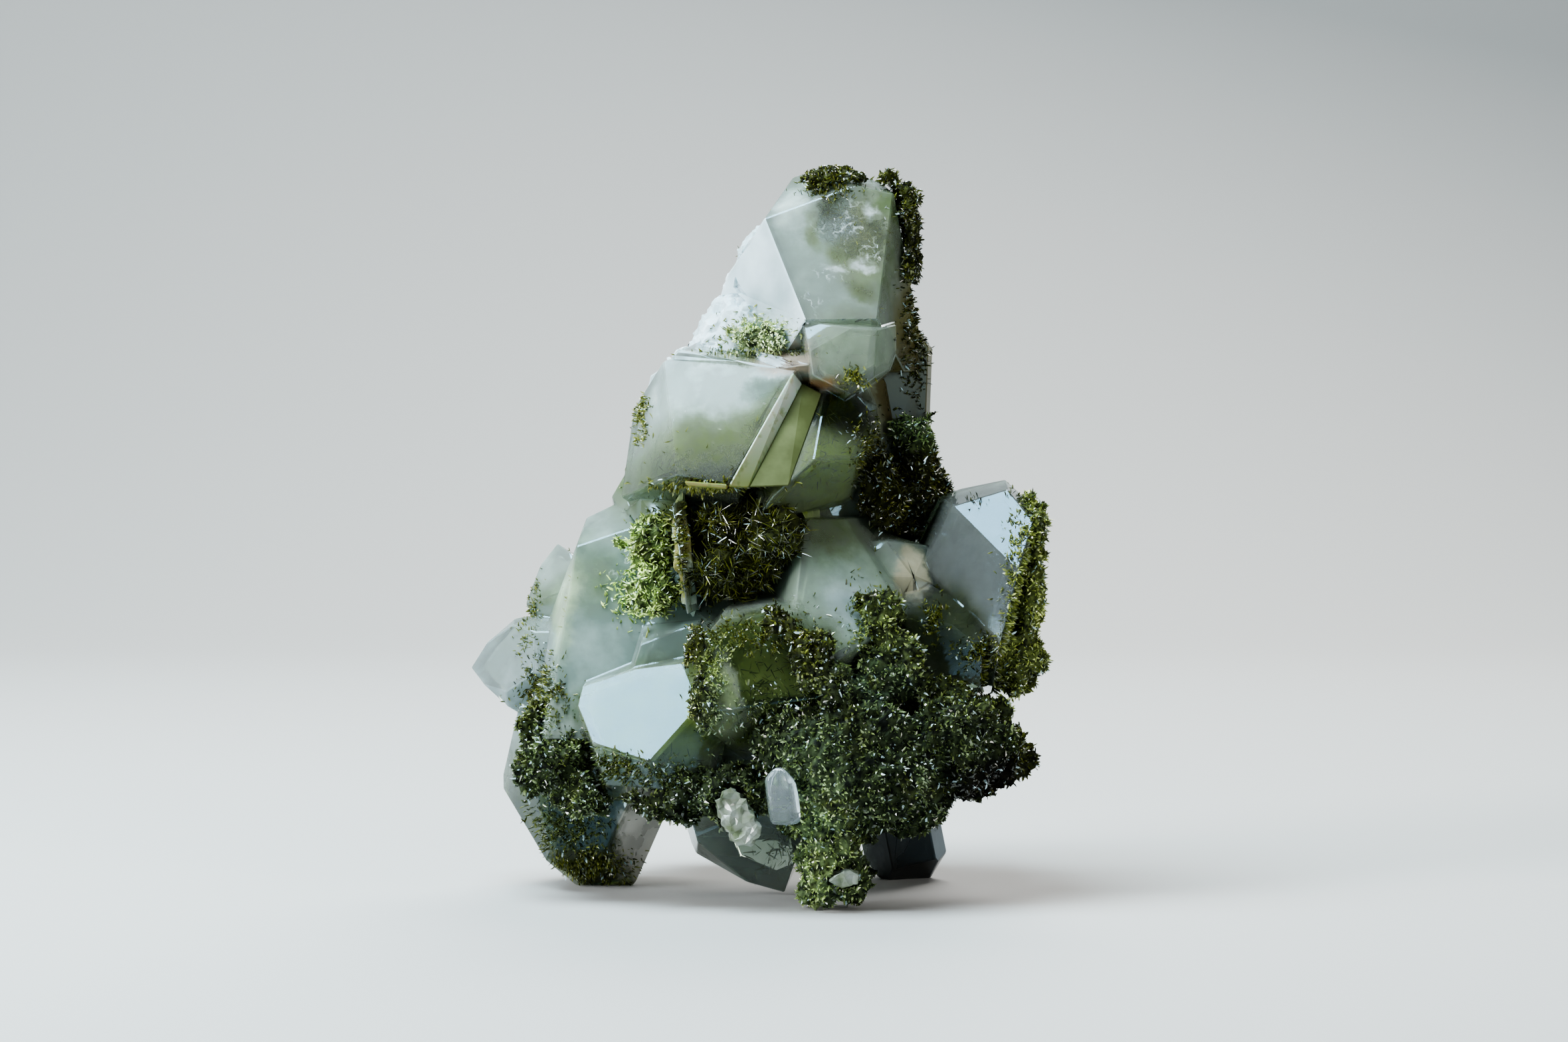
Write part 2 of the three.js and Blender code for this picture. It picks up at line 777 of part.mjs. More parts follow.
// Larger lumps get more faces
const detailFor = (size) => (size > FINE_LUMP_SIZE ? 2 : 1);

// Epidote crusts, each lump as centre and radii
const CROWN = [
  [12.2, 5, 68.6, 1.5, 2, 1.4],
  [13.8, 6, 65.8, 2, 4, 3],
  [14.1, 6, 61.2, 1.9, 4.2, 3.4],
];
const CREST = [
  [5.8, 5.4, 68.1, 2.4, 3, 1.4],
  [7.8, 5, 68.4, 2.4, 3, 1.5],
];
const SHOULDER = [
  [-0.8, 0.6, 53.4, 1.7, 1.5, 1.4],
  [1.4, -0.6, 53.2, 1.8, 1.5, 1.5],
];
const MIDDLE_RIGHT = [
  [14.4, 4, 43.6, 3.2, 3.6, 3],
  [14.8, 4, 38.6, 4.2, 4.4, 4.2],
  [14.4, 3.4, 34.4, 4, 4, 3],
  [11.2, -1.4, 40.4, 2.2],
  [11.6, -0.6, 36.6, 3, 2.8, 3],
];
const NEST = [
  [-2.6, -3.4, 35.2, 4.4, 4.6, 3.2],
  [-2.6, -5.4, 31, 4.4, 3.8, 3.2],
  [0.8, -6, 33, 2.8, 3.2, 4.2],
];
const NEST_LEFT = [
  [-10.3, -5.8, 28.6, 3, 2.6, 2.6],
  [-10.4, -3.4, 33.4, 2.8, 3.4, 3.6],
];
const LEFT_LUMP = [
  [-20.6, -5, 16, 3],
  [-19.6, -6.4, 12.6, 4.6, 4.4, 4],
  [-16.6, -8.4, 10, 2.8],
];
const RIGHT_EDGE = [
  [25.7, -3.4, 34.4, 1.9, 4.4, 4.4],
  [25.4, -3.8, 28.6, 2.1, 4.4, 4.4],
  [24.4, -4, 22.8, 2.8, 4, 4],
];
const FRONT_MASS = [
  [7.6, -12.4, 13.4, 8.8, 6, 8],
  [17, -8.6, 15.6, 7, 6, 5.8],
  [6.7, -14, 3.6, 3.8, 3.4, 4.6],
  [14.4, -8.4, 9.6, 4.2, 4.2, 4.2],
  [12.4, -9.8, 22, 4.2, 3.4, 4.4],
  [11, -10, 27, 2.5, 2.4, 3.4],
  [-2.6, -13.2, 10.6, 4.2, 3.2, 3.4],
  [-8.4, -12.2, 10.4, 4.2, 2.8, 3],
];
const BLOCK_RIGHT = [
  [1.6, -12.8, 26.4, 2.6, 1.7, 2],
  [4.8, -14.2, 23, 2.6, 2.2, 4],
  [7.2, -14.6, 20.2, 2.4, 2.2, 2.8],
];
const BLOCK_LEFT = [
  [-5.6, -13, 24, 1.9, 1.9, 2.8],
  [-5, -15, 19.6, 2, 2, 3],
];
const CHUNK = [
  [23.2, -1, 13.2, 3, 3.6, 3.4],
  [20.4, -3, 11.4, 3.2, 3.6, 2.8],
];
const BACK_UPPER = [
  [2, 13.4, 40, 4, 2.6, 3.4],
  [-2, 13.4, 36.6, 3.4, 2.4, 2.8],
];
const BACK_LOWER = [
  [-1, 14.6, 20.4, 3.4, 3.4, 3.4],
  [3, 14.6, 17.4, 4, 3.4, 3],
];

const QUARTZ_LOOK = { color: 0xd3dcd8, roughness: 0.12, metalness: 0 };
const EPIDOTE_LOOK = { color: 0x49521c, roughness: 0.4, metalness: 0 };

const CRUSTS = {
  epidote_crown: crust(CROWN, { seed: 2 }),
  epidote_crest: crust(CREST, { seed: 3 }),
  epidote_shoulder: crust(SHOULDER, { seed: 4 }),
  epidote_middle_right: crust(MIDDLE_RIGHT, { seed: 5 }),
  epidote_nest: crust(NEST, { seed: 6, density: 0.6 }),
  epidote_nest_left: crust(NEST_LEFT, { seed: 14 }),
  epidote_left_lump: crust(LEFT_LUMP, { seed: 7 }),
  epidote_right_edge: crust(RIGHT_EDGE, { seed: 11 }),
  epidote_block_left: crust(BLOCK_LEFT, { seed: 12 }),
  epidote_front_mass: crust([...FRONT_MASS, ...BLOCK_RIGHT, ...CHUNK], { seed: 8 }),
  epidote_back_upper: crust(BACK_UPPER, { seed: 9 }),
  epidote_back_lower: crust(BACK_LOWER, { seed: 10 }),
};

// Everything is ground flat at the level of the table, which gives the group its three feet
const onTable = (solid) => mainBody(solid.trimByPlane([0, 0, 1], 0));

const group = new THREE.Group();
group.add(meshOf("quartz_group", onTable(quartz), QUARTZ_LOOK));
for (const [name, solid] of Object.entries(looseBits)) {
  group.add(meshOf(name, solid, QUARTZ_LOOK));
}
for (const [name, solid] of Object.entries(CRUSTS)) {
  group.add(meshOf(name, onTable(solid), EPIDOTE_LOOK));
}
group.position.set(...CENTRE_SHIFT);

export default group;
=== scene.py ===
import math

import bmesh
import bpy
import numpy as np
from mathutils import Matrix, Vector
from mathutils.bvhtree import BVHTree


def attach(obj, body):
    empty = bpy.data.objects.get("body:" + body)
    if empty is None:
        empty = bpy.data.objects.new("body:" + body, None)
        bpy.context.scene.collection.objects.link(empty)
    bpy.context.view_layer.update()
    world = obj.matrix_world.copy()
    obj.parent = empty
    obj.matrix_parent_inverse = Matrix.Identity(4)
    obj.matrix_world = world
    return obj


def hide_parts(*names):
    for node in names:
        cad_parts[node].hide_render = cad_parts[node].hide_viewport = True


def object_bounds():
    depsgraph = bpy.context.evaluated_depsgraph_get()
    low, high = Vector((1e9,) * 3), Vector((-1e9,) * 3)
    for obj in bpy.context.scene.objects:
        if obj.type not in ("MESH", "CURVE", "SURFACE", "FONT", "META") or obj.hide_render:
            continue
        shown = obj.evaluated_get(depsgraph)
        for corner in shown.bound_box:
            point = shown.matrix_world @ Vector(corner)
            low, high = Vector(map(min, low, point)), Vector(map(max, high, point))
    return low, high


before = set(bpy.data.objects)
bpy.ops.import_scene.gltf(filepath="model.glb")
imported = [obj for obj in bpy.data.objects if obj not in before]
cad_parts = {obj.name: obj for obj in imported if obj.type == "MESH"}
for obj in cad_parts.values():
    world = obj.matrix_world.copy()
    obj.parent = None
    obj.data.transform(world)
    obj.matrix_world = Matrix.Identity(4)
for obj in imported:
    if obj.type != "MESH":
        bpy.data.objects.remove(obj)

cad_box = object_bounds()


# The view
# A long lens in front of the group, level with its upper part and tipped a little down.

# Row frame in metres from the part's own millimetres: the group is moved to the middle of its base
CENTRE_SHIFT = (0.16, -1.22, 0.0)


def place(x, y, z):
    return Vector(((x + CENTRE_SHIFT[0]) * 0.001, (y + CENTRE_SHIFT[1]) * 0.001, z * 0.001))


bpy.ops.object.select_all(action="DESELECT")
bpy.ops.object.camera_add(location=place(2.2, -377.64, 52.09), rotation=(math.radians(87.5), 0, 0))
camera = bpy.context.object
camera.name = "view"
camera.data.lens = 90
camera.data.sensor_width = 36
camera.data.clip_start = 0.01
camera.data.dof.use_dof = False
bpy.context.scene.camera = camera
bpy.context.scene.view_settings.view_transform = "AgX"
bpy.context.scene.view_settings.look = "AgX - Medium High Contrast"



# Floor and studio light
# A plain pale sweep that bends up behind, with soft boxes above, at both sides and at the back.

def new_material(name):
    """A material with its node tree and its main shader."""
    material = bpy.data.materials.new(name)
    material.use_nodes = True
    tree = material.node_tree
    return material, tree, tree.nodes["Principled BSDF"]


def set_values(node, values):
    """Plain values on the node's own sockets."""
    for socket, value in values.items():
        node.inputs[socket].default_value = value


FLOOR_HALF = 3.0
SWEEP_BACK = 0.55
SWEEP_RADIUS = 0.25
SWEEP_HEIGHT = 1.0
bpy.ops.mesh.primitive_plane_add(size=2 * FLOOR_HALF, location=(0, SWEEP_BACK - FLOOR_HALF, 0))
floor = bpy.context.object
floor.name = "pale_floor"
bpy.ops.object.transform_apply(location=True, rotation=False, scale=False)
bpy.ops.object.mode_set(mode="EDIT")
bpy.ops.mesh.select_mode(type="EDGE")
bpy.ops.mesh.select_all(action="DESELECT")
sweep = bmesh.from_edit_mesh(floor.data)
for edge in sweep.edges:
    edge.select_set(all(corner.co.y > SWEEP_BACK - 0.01 for corner in edge.verts))
bmesh.update_edit_mesh(floor.data)
bpy.ops.mesh.extrude_region_move(TRANSFORM_OT_translate={"value": (0, 0, SWEEP_HEIGHT)})
bpy.ops.mesh.select_all(action="DESELECT")
sweep = bmesh.from_edit_mesh(floor.data)
for edge in sweep.edges:
    low = all(abs(corner.co.z) < 1e-5 for corner in edge.verts)
    edge.select_set(low and all(corner.co.y > SWEEP_BACK - 0.01 for corner in edge.verts))
bmesh.update_edit_mesh(floor.data)
bpy.ops.mesh.bevel(offset=SWEEP_RADIUS, segments=16, affect="EDGES")
bpy.ops.object.mode_set(mode="OBJECT")
bpy.ops.object.shade_smooth()
floor_paint, tree, shader = new_material("pale_floor_paint")
set_values(shader, {"Base Color": (0.47, 0.47, 0.46, 1), "Roughness": 0.75})
floor.data.materials.append(floor_paint)

SOFT_BOXES = {
    # name: (where it stands, what it faces, width, height, watts, colour)
    "overhead_box": ((-0.15, -0.02, 0.40), (-0.15, -0.02, 0.0), 0.30, 0.22, 4.7, (0.74, 0.92, 1.0)),
    "left_box": ((-0.42, -0.22, 0.20), (0, 0, 0.035), 0.16, 0.24, 3.2, (0.95, 0.98, 1.0)),
    "right_box": ((0.40, -0.30, 0.16), (0, 0, 0.03), 0.16, 0.20, 0.8, (1.0, 0.97, 0.93)),
    "back_box": ((0.10, 0.34, 0.34), (0, 0, 0.04), 0.30, 0.20, 2.2, (1.0, 0.98, 0.95)),
}
for name, (stand, aim, width, height, watts, tint) in SOFT_BOXES.items():
    turned = (Vector(aim) - Vector(stand)).to_track_quat("-Z", "Y").to_euler()
    bpy.ops.object.light_add(type="AREA", location=stand, rotation=turned)
    lamp = bpy.context.object
    lamp.name = name
    lamp.data.shape = "RECTANGLE"
    lamp.data.size = width
    lamp.data.size_y = height
    lamp.data.energy = watts
    lamp.data.color = tint

world = bpy.data.worlds.new("studio_air")
bpy.context.scene.world = world
world.use_nodes = True
background = world.node_tree.nodes["Background"]
set_values(background, {"Color": (0.80, 0.84, 0.90, 1), "Strength": 0.10})


# Quartz group
# Milky to clear quartz points, grown together and into a white wall, one solid with crisp flat faces.
# The crystals are clear where they grew last and clouded white or green below.

def copy_of(node, name):
    """A piece of its own with the CAD node's shape, its loose triangles merged."""
    bpy.ops.object.select_all(action="DESELECT")
    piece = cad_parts[node].copy()
    piece.data = piece.data.copy()
    piece.parent = None
    for key in [key for key in piece.keys() if key.startswith("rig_")]:
        del piece[key]
    bpy.context.scene.collection.objects.link(piece)
    piece.hide_viewport = False
    piece.hide_render = False
    piece.hide_set(False)
    piece.name = name
    piece.data.name = name
    piece.data.materials.clear()
    bpy.context.view_layer.objects.active = piece
    piece.select_set(True)
    bpy.ops.object.mode_set(mode="EDIT")
    bpy.ops.mesh.select_all(action="SELECT")
    bpy.ops.mesh.remove_doubles(threshold=2e-6)
    bpy.ops.object.mode_set(mode="OBJECT")
    return piece


def apply_modifier(piece, kind, **values):
    modifier = piece.modifiers.new(kind.lower(), kind)
    for key, value in values.items():
        setattr(modifier, key, value)
    bpy.context.view_layer.objects.active = piece
    bpy.ops.object.modifier_apply(modifier=modifier.name)


quartz = copy_of("quartz_group", "quartz_crystals")
bpy.ops.object.mode_set(mode="EDIT")
bpy.ops.mesh.select_all(action="SELECT")
bpy.ops.mesh.remove_doubles(threshold=6e-5)
bpy.ops.mesh.dissolve_limited(angle_limit=math.radians(1.0))
bpy.ops.object.mode_set(mode="OBJECT")
apply_modifier(
    quartz, "BEVEL", width=0.00011, segments=1, limit_method="ANGLE",
    angle_limit=math.radians(14), use_clamp_overlap=False, material=1,
)

# The white flank is rough massive quartz: its small faces are cut finer and broken up
FLANK_CENTRE = place(-4.5, 5, 52)
FLANK_RADII = (0.0085, 0.012, 0.0155)
FLANK_FACE = 9e-6
bpy.ops.object.mode_set(mode="EDIT")
bpy.ops.mesh.select_mode(type="FACE")
bpy.ops.mesh.select_all(action="DESELECT")
group = bmesh.from_edit_mesh(quartz.data)
for face in group.faces:
    away = face.calc_center_median() - FLANK_CENTRE
    inside = sum((away[k] / FLANK_RADII[k]) ** 2 for k in range(3)) < 1
    face.select_set(inside and face.calc_area() < FLANK_FACE)
bmesh.update_edit_mesh(quartz.data)
bpy.ops.mesh.quads_convert_to_tris()
bpy.ops.mesh.subdivide(number_cuts=5)
bpy.ops.object.mode_set(mode="OBJECT")
chosen = {corner for face in quartz.data.polygons if face.select for corner in face.vertices}
rim = {corner for face in quartz.data.polygons if not face.select for corner in face.vertices}
flank = quartz.vertex_groups.new(name="flank")
flank.add(sorted(chosen - rim), 1.0, "REPLACE")
for scale, strength in ((0.0019, 0.0016), (0.0007, 0.0007)):
    ripple = bpy.data.textures.new("flank_ripple", "CLOUDS")
    ripple.noise_scale = scale
    apply_modifier(
        quartz, "DISPLACE", strength=strength, mid_level=0.55, texture=ripple,
        texture_coords="LOCAL", vertex_group="flank",
    )
quartz.vertex_groups.clear()

# Each growth face is a little milkier or clearer than the next, and the edges between are whiter: partly
# worn chips, partly painted edge highlights
WALL_CENTRE = place(-4, 5, 55)
WALL_RADII = (0.0085, 0.011, 0.013)
facets, edges, walls = [], [], []
for face in quartz.data.polygons:
    facet = 0.5 + 0.5 * math.sin(face.normal.dot(Vector((7, 11, 5))) + 3)
    away = face.center - WALL_CENTRE
    near = sum((away[k] / WALL_RADII[k]) ** 2 for k in range(3)) < 1
    wall = near and (face.normal.x < -0.3 or face.area < FLANK_FACE / 20)
    facets += [facet] * face.loop_total
    edges += [float(face.material_index == 1)] * face.loop_total
    walls += [float(wall)] * face.loop_total
    face.material_index = 0
for label, values in (("facet", facets), ("edge_wear_and_highlight", edges), ("white_wall", walls)):
    layer = quartz.data.attributes.new(label, "FLOAT", "CORNER")
    layer.data.foreach_set("value", np.array(values, np.float32))
bpy.ops.object.shade_smooth_by_angle(angle=math.radians(12))


def added(tree, kind, **values):
    node = tree.nodes.new(kind)
    for key, value in values.items():
        setattr(node, key, value)
    return node


def feed(tree, source, socket):
    """Links a socket to its source, or gives it a plain value."""
    if isinstance(source, bpy.types.NodeSocket):
        tree.links.new(source, socket)
    else:
        socket.default_value = source


def maths(tree, operation, *sources, clamp=False):
    node = added(tree, "ShaderNodeMath", operation=operation, use_clamp=clamp)
    for index, source in enumerate(sources):
        feed(tree, source, node.inputs[index])
    return node.outputs[0]


def vector_maths(tree, operation, *sources):
    node = added(tree, "ShaderNodeVectorMath", operation=operation)
    for index, source in enumerate(sources):
        feed(tree, source, node.inputs[index])
    return node.outputs["Value" if operation == "LENGTH" else "Vector"]


def mix(tree, factor, first, second, kind="RGBA", blend="MIX", label=""):
    """From the first at factor 0 to the second at factor 1."""
    node = added(tree, "ShaderNodeMix", data_type=kind, blend_type=blend, label=label)
    for socket, source in (("Factor", factor), ("A", first), ("B", second)):
        feed(tree, source, node.inputs[socket])
    return node.outputs["Result"]


def span(tree, value, low, high, to_low=0, to_high=1, kind="LINEAR"):
    """A value between low and high as 0 to 1, or as another range, held at its ends."""
    node = added(tree, "ShaderNodeMapRange", interpolation_type=kind, clamp=True)
    set_values(node, {"From Min": low, "From Max": high, "To Min": to_low, "To Max": to_high})
    tree.links.new(value, node.inputs["Value"])
    return node.outputs["Result"]


def noise(tree, coords, scale, detail, roughness=0.5):
    node = added(tree, "ShaderNodeTexNoise")
    set_values(node, {"Scale": scale, "Detail": detail, "Roughness": roughness})
    tree.links.new(coords, node.inputs["Vector"])
    return node


def noise_between(tree, coords, scale, low, high, detail=4):
    """0 to 1 where a noise of that scale is between low and high."""
    return span(tree, noise(tree, coords, scale, detail).outputs["Fac"], low, high)


def object_coords(tree):
    return added(tree, "ShaderNodeTexCoord").outputs["Object"]


def attribute(tree, name):
    return added(tree, "ShaderNodeAttribute", attribute_name=name).outputs["Fac"]


def spot(tree, where, centre, radii, soft=0.5):
    """1 inside an ellipsoid of the group, 0 outside it, with a soft edge."""
    away = vector_maths(tree, "SUBTRACT", where, place(*centre))
    scaled = vector_maths(tree, "DIVIDE", away, [r * 0.001 for r in radii])
    length = vector_maths(tree, "LENGTH", scaled)
    return span(tree, length, 1 + soft, 1 - soft, kind="SMOOTHSTEP")


# Each zone: centre and radii in the part's millimetres, softness of its edge, colour of the cloud
# inside, and how hazy the skin over it is
QUARTZ_ZONES = [
    ("back_green", (-3, 14, 44), (7, 8, 6), 0.5, (0.17, 0.23, 0.08), 0.16),
    ("back_white", (-8, 14, 33), (7, 8, 6), 0.5, (0.58, 0.66, 0.64), 0.40),
    ("back_moss_foot", (0, 14, 21), (14, 8, 3), 0.7, (0.12, 0.16, 0.05), 0.12),
    ("back_smoke", (14, 12, 26), (6, 8, 6), 0.5, (0.13, 0.15, 0.10), 0.10),
    ("top_milk", (5, 2, 62), (6, 9, 9), 0.5, (0.50, 0.59, 0.55), 0.24),
    ("top_green", (9.3, 0, 62.6), (2.8, 7, 4.2), 0.5, (0.42, 0.50, 0.30), 0.16),
    ("top_yellow", (10.3, 0, 64.0), (1.7, 7, 3.0), 0.6, (0.38, 0.44, 0.20), 0.14),
    ("top_window", (6.9, 0, 64.6), (1.9, 7, 2.5), 0.4, (0.44, 0.54, 0.51), 0.12),
    ("top_moss_edge", (5.0, 0, 64.2), (0.6, 6, 2.2), 0.8, (0.30, 0.37, 0.16), 0.14),
    ("top_moss_by_crest", (6.0, 0, 66.2), (1.6, 6, 1.5), 0.7, (0.15, 0.20, 0.07), 0.08),
    ("top_moss_right", (11.2, 0, 64.4), (0.8, 6, 3.0), 0.8, (0.20, 0.26, 0.08), 0.10),
    ("top_moss_middle", (8.0, 0, 61.6), (1.6, 6, 0.9), 0.9, (0.28, 0.35, 0.14), 0.12),
    ("top_moss_foot", (9.8, 0, 57.8), (1.1, 6, 1.1), 0.8, (0.24, 0.30, 0.11), 0.14),
    ("top_white_veil", (10.2, 0, 60.7), (1.1, 6, 0.5), 0.8, (0.72, 0.80, 0.82), 0.45),
    ("top_white_middle", (7.2, 0, 59.9), (1.3, 6, 0.35), 0.8, (0.72, 0.80, 0.82), 0.45),
    ("top_white_corner", (11.0, 0, 66.1), (0.7, 6, 0.7), 0.8, (0.72, 0.80, 0.82), 0.5),
    ("top_corner_milk", (3.2, 0, 66.6), (2.4, 6, 3.4), 0.4, (0.64, 0.74, 0.71), 0.36),
    ("white_flank", (-4.5, 5, 57), (5.2, 8, 9), 0.4, (0.66, 0.77, 0.80), 0.45),
    ("behind_right", (14.5, 7, 53), (4, 9, 8), 0.4, (0.16, 0.15, 0.045), 0.9),
    ("behind_low", (14.5, 6, 47.5), (6, 9, 5.5), 0.4, (0.072, 0.060, 0.018), 0.9),
    ("small_crystal", (8.5, -2, 51.5), (5.0, 7, 4.3), 0.2, (0.42, 0.50, 0.40), 0.18),
    ("middle_left_milk", (-4, -3, 48), (9, 9, 6.5), 0.4, (0.66, 0.76, 0.75), 0.40),
    ("middle_left_window", (0.4, -4, 48.4), (2.4, 4, 1.6), 0.5, (0.40, 0.52, 0.48), 0.14),
    ("middle_left_green", (-4, -7, 42.4), (8, 8, 3.2), 0.7, (0.26, 0.33, 0.12), 0.22),
    ("middle_left_foot", (-4, -8, 40), (8, 8, 2.0), 0.7, (0.12, 0.16, 0.05), 0.10),
    ("green_crystal", (5, -5, 43), (6, 9, 6.8), 0.25, (0.20, 0.27, 0.03), 0.12),
    ("green_crystal_top", (6.8, -2, 46.4), (3.4, 6, 2.8), 0.5, (0.052, 0.060, 0.004), 0.0),
    ("green_crystal_left", (2.9, -4.5, 43.8), (1.9, 5, 5.4), 0.4, (0.12, 0.14, 0.035), 0.22),
    ("left_milk", (-14, -4, 26), (9, 9, 9.5), 0.4, (0.36, 0.46, 0.43), 0.34),
    ("left_smudge", (-16, -4, 30), (2.6, 6, 2.4), 0.8, (0.36, 0.46, 0.34), 0.26),
    ("left_side", (-19.5, -2, 28), (1.6, 5, 5), 0.6, (0.52, 0.64, 0.45), 0.40),
    ("mirror_crystal", (-10, -10, 17), (7, 7, 6), 0.3, (0.20, 0.27, 0.07), 0.05),
    ("mirror_foot", (-10, -13, 12), (6, 6, 3.2), 0.5, (0.11, 0.17, 0.08), 0.08),
    ("centre_crystal", (7, -9, 29), (6, 7, 7), 0.3, (0.46, 0.57, 0.47), 0.28),
    ("centre_top_green", (6.0, -9, 34.6), (4.5, 6, 2.2), 0.6, (0.27, 0.33, 0.14), 0.2),
    ("centre_blue", (8.4, -9, 28.0), (2.4, 6, 2.8), 0.6, (0.52, 0.62, 0.62), 0.34),
    ("right_crystal", (21, -5, 32), (6, 8, 9), 0.3, (0.10, 0.12, 0.115), 0.16),
    ("dark_crystal", (17, -6, 25), (5, 7, 5), 0.35, (0.085, 0.10, 0.04), 0.02),
    ("front_block", (0.5, -13, 21), (8, 8, 7.5), 0.25, (0.19, 0.23, 0.08), 0.0),
    ("block_left_milk", (-3.6, -13, 20.3), (1.6, 4, 3.4), 0.5, (0.34, 0.40, 0.24), 0.45),
    ("front_chin", (-1.8, -16, 17.0), (1.6, 3, 1.6), 0.6, (0.24, 0.29, 0.13), 0.2),
    ("leftmost_point", (-24, 3, 20), (5.5, 8, 6), 0.3, (0.46, 0.53, 0.53), 0.34),
    ("bottom_left", (-17, 1, 6), (9, 18, 7.8), 0.3, (0.17, 0.18, 0.06), 0.0),
    # the right part of the bottom left crystal: beige-white, and painted paler still as light over its
    # shade
    ("bottom_left_beige_lit", (-11.4, 0, 4.4), (2.3, 8, 5.2), 0.3, (0.70, 0.66, 0.60), 0.9),
    ("under_centre", (1, -6, 4), (9, 9, 6.5), 0.3, (0.15, 0.18, 0.12), 0.10),
    # the hidden crystal at the lower right is painted near-black, as shade
    ("under_right_painted_shade", (15, 4, 4), (6, 9, 7), 0.3, (0.030, 0.026, 0.020), 0.75),
    ("ridge_olive", (-1.0, -2, 51.7), (4.5, 5, 0.5), 0.8, (0.24, 0.26, 0.11), 0.3),
    ("stained_plate", (1.9, -3, 51.6), (2.9, 5, 1.4), 0.4, (0.56, 0.47, 0.38), 0.5),
    ("rusty_seam", (5.4, -3, 49.4), (1.9, 3, 0.8), 0.6, (0.36, 0.22, 0.12), 0.6),
    ("nest_blade", (-7.6, -6, 32.5), (1.2, 5, 5), 0.3, (0.17, 0.16, 0.06), 0.3),
    ("tan_crystal", (14, -3, 30.5), (1.9, 4, 3), 0.25, (0.55, 0.52, 0.38), 0.42),
]
# Outside the zones the cloud is milk with green patches
PLAIN_MILK = (0.47, 0.54, 0.50)
PLAIN_GREEN = (0.18, 0.24, 0.10)
PLAIN_HAZE = 0.3
# How far, in metres, the edges of the zones wander
ZONE_WANDER = 0.006


def zone_fields(tree, coords):
    """The cloud colour and the haze of each place in the group, with wandering zone edges."""
    wander = noise(tree, coords, 170, 5, roughness=0.65).outputs["Color"]
    push = added(tree, "ShaderNodeVectorMath", operation="SCALE")
    push.inputs["Scale"].default_value = ZONE_WANDER
    tree.links.new(vector_maths(tree, "SUBTRACT", wander, (0.5, 0.5, 0.5)), push.inputs[0])
    where = vector_maths(tree, "ADD", coords, push.outputs[0])
    patches = noise_between(tree, coords, 85, 0.42, 0.62)
    cloud = mix(tree, patches, (*PLAIN_MILK, 1), (*PLAIN_GREEN, 1), label="plain")
    haze = PLAIN_HAZE
    for name, centre, radii, soft, tint, hazy in QUARTZ_ZONES:
        here = spot(tree, where, centre, radii, soft)
        cloud = mix(tree, here, cloud, (*tint, 1), label=name)
        haze = mix(tree, here, haze, hazy, kind="FLOAT", label=name)
    return cloud, haze


# Where cracks inside the stone have healed to fine white curls: centre and radii
CRACKED_PLACES = [
    ((8.6, 0, 63.6), (3.2, 7, 3.0)),
    ((7.4, 0, 59.6), (2.0, 6, 0.9)),
    ((5.4, 0, 57.0), (1.8, 6, 0.9)),
    ((10.4, 0, 60.8), (1.3, 6, 1.2)),
    ((3.6, -1, 54.8), (1.7, 5, 1.4)),
    ((-13, -5, 31.6), (3.0, 6, 1.4)),
]
# The bottom left crystal, clear through and through, and the greener for it: centre, radii, softness
DEEP_GREEN = ((-19, 1, 6), (6.2, 9, 6.5), 0.3)


def healed_cracks(tree, coords):
    """Fine curling lines, in patches, in the cracked places alone."""
    curl = noise(tree, coords, 620, 3).outputs["Fac"]
    away = maths(tree, "ABSOLUTE", maths(tree, "SUBTRACT", curl, 0.5))
    line = span(tree, away, 0.030, 0.004)
    patch = maths(tree, "MULTIPLY", line, noise_between(tree, coords, 420, 0.46, 0.60))
    places = 0
    for centre, radii in CRACKED_PLACES:
        places = maths(tree, "MAXIMUM", places, spot(tree, coords, centre, radii))
    return maths(tree, "MULTIPLY", patch, places)


# The skin: clear quartz, hazy in its milky zones, so its cloud shows through
QUARTZ_IOR = 1.544
quartz_skin, tree, shader = new_material("quartz_skin")
coords = object_coords(tree)
cloud, haze = zone_fields(tree, coords)
facet, edge_wear_and_highlight, white_wall = (
    attribute(tree, name) for name in ("facet", "edge_wear_and_highlight", "white_wall")
)
# edges, whitened partly as wear and partly as painted highlights, show white on pale stone and hardly at
# all on dark stone
stone = added(tree, "ShaderNodeSeparateColor")
tree.links.new(cloud, stone.inputs[0])
paleness = maths(tree, "MULTIPLY_ADD", stone.outputs["Green"], 2.2, 0.05, clamp=True)
edge_wear_and_highlight = maths(tree, "MULTIPLY", edge_wear_and_highlight, paleness)
# the haze: more in wisps, on some faces, on the wall, in healed cracks and on the edges that are worn and
# painted as highlights
wisps = noise_between(tree, coords, 260, 0.45, 0.75)
veil = maths(tree, "MULTIPLY_ADD", wisps, 0.9, 0.65)
milky = maths(tree, "MULTIPLY", haze, maths(tree, "MULTIPLY_ADD", facet, 0.5, veil))
walled = maths(tree, "MULTIPLY_ADD", white_wall, 0.8, milky)
cracks = healed_cracks(tree, coords)
cracked = maths(tree, "MULTIPLY_ADD", cracks, 0.45, walled)
hazier = maths(tree, "MULTIPLY_ADD", edge_wear_and_highlight, 0.45, cracked, clamp=True)
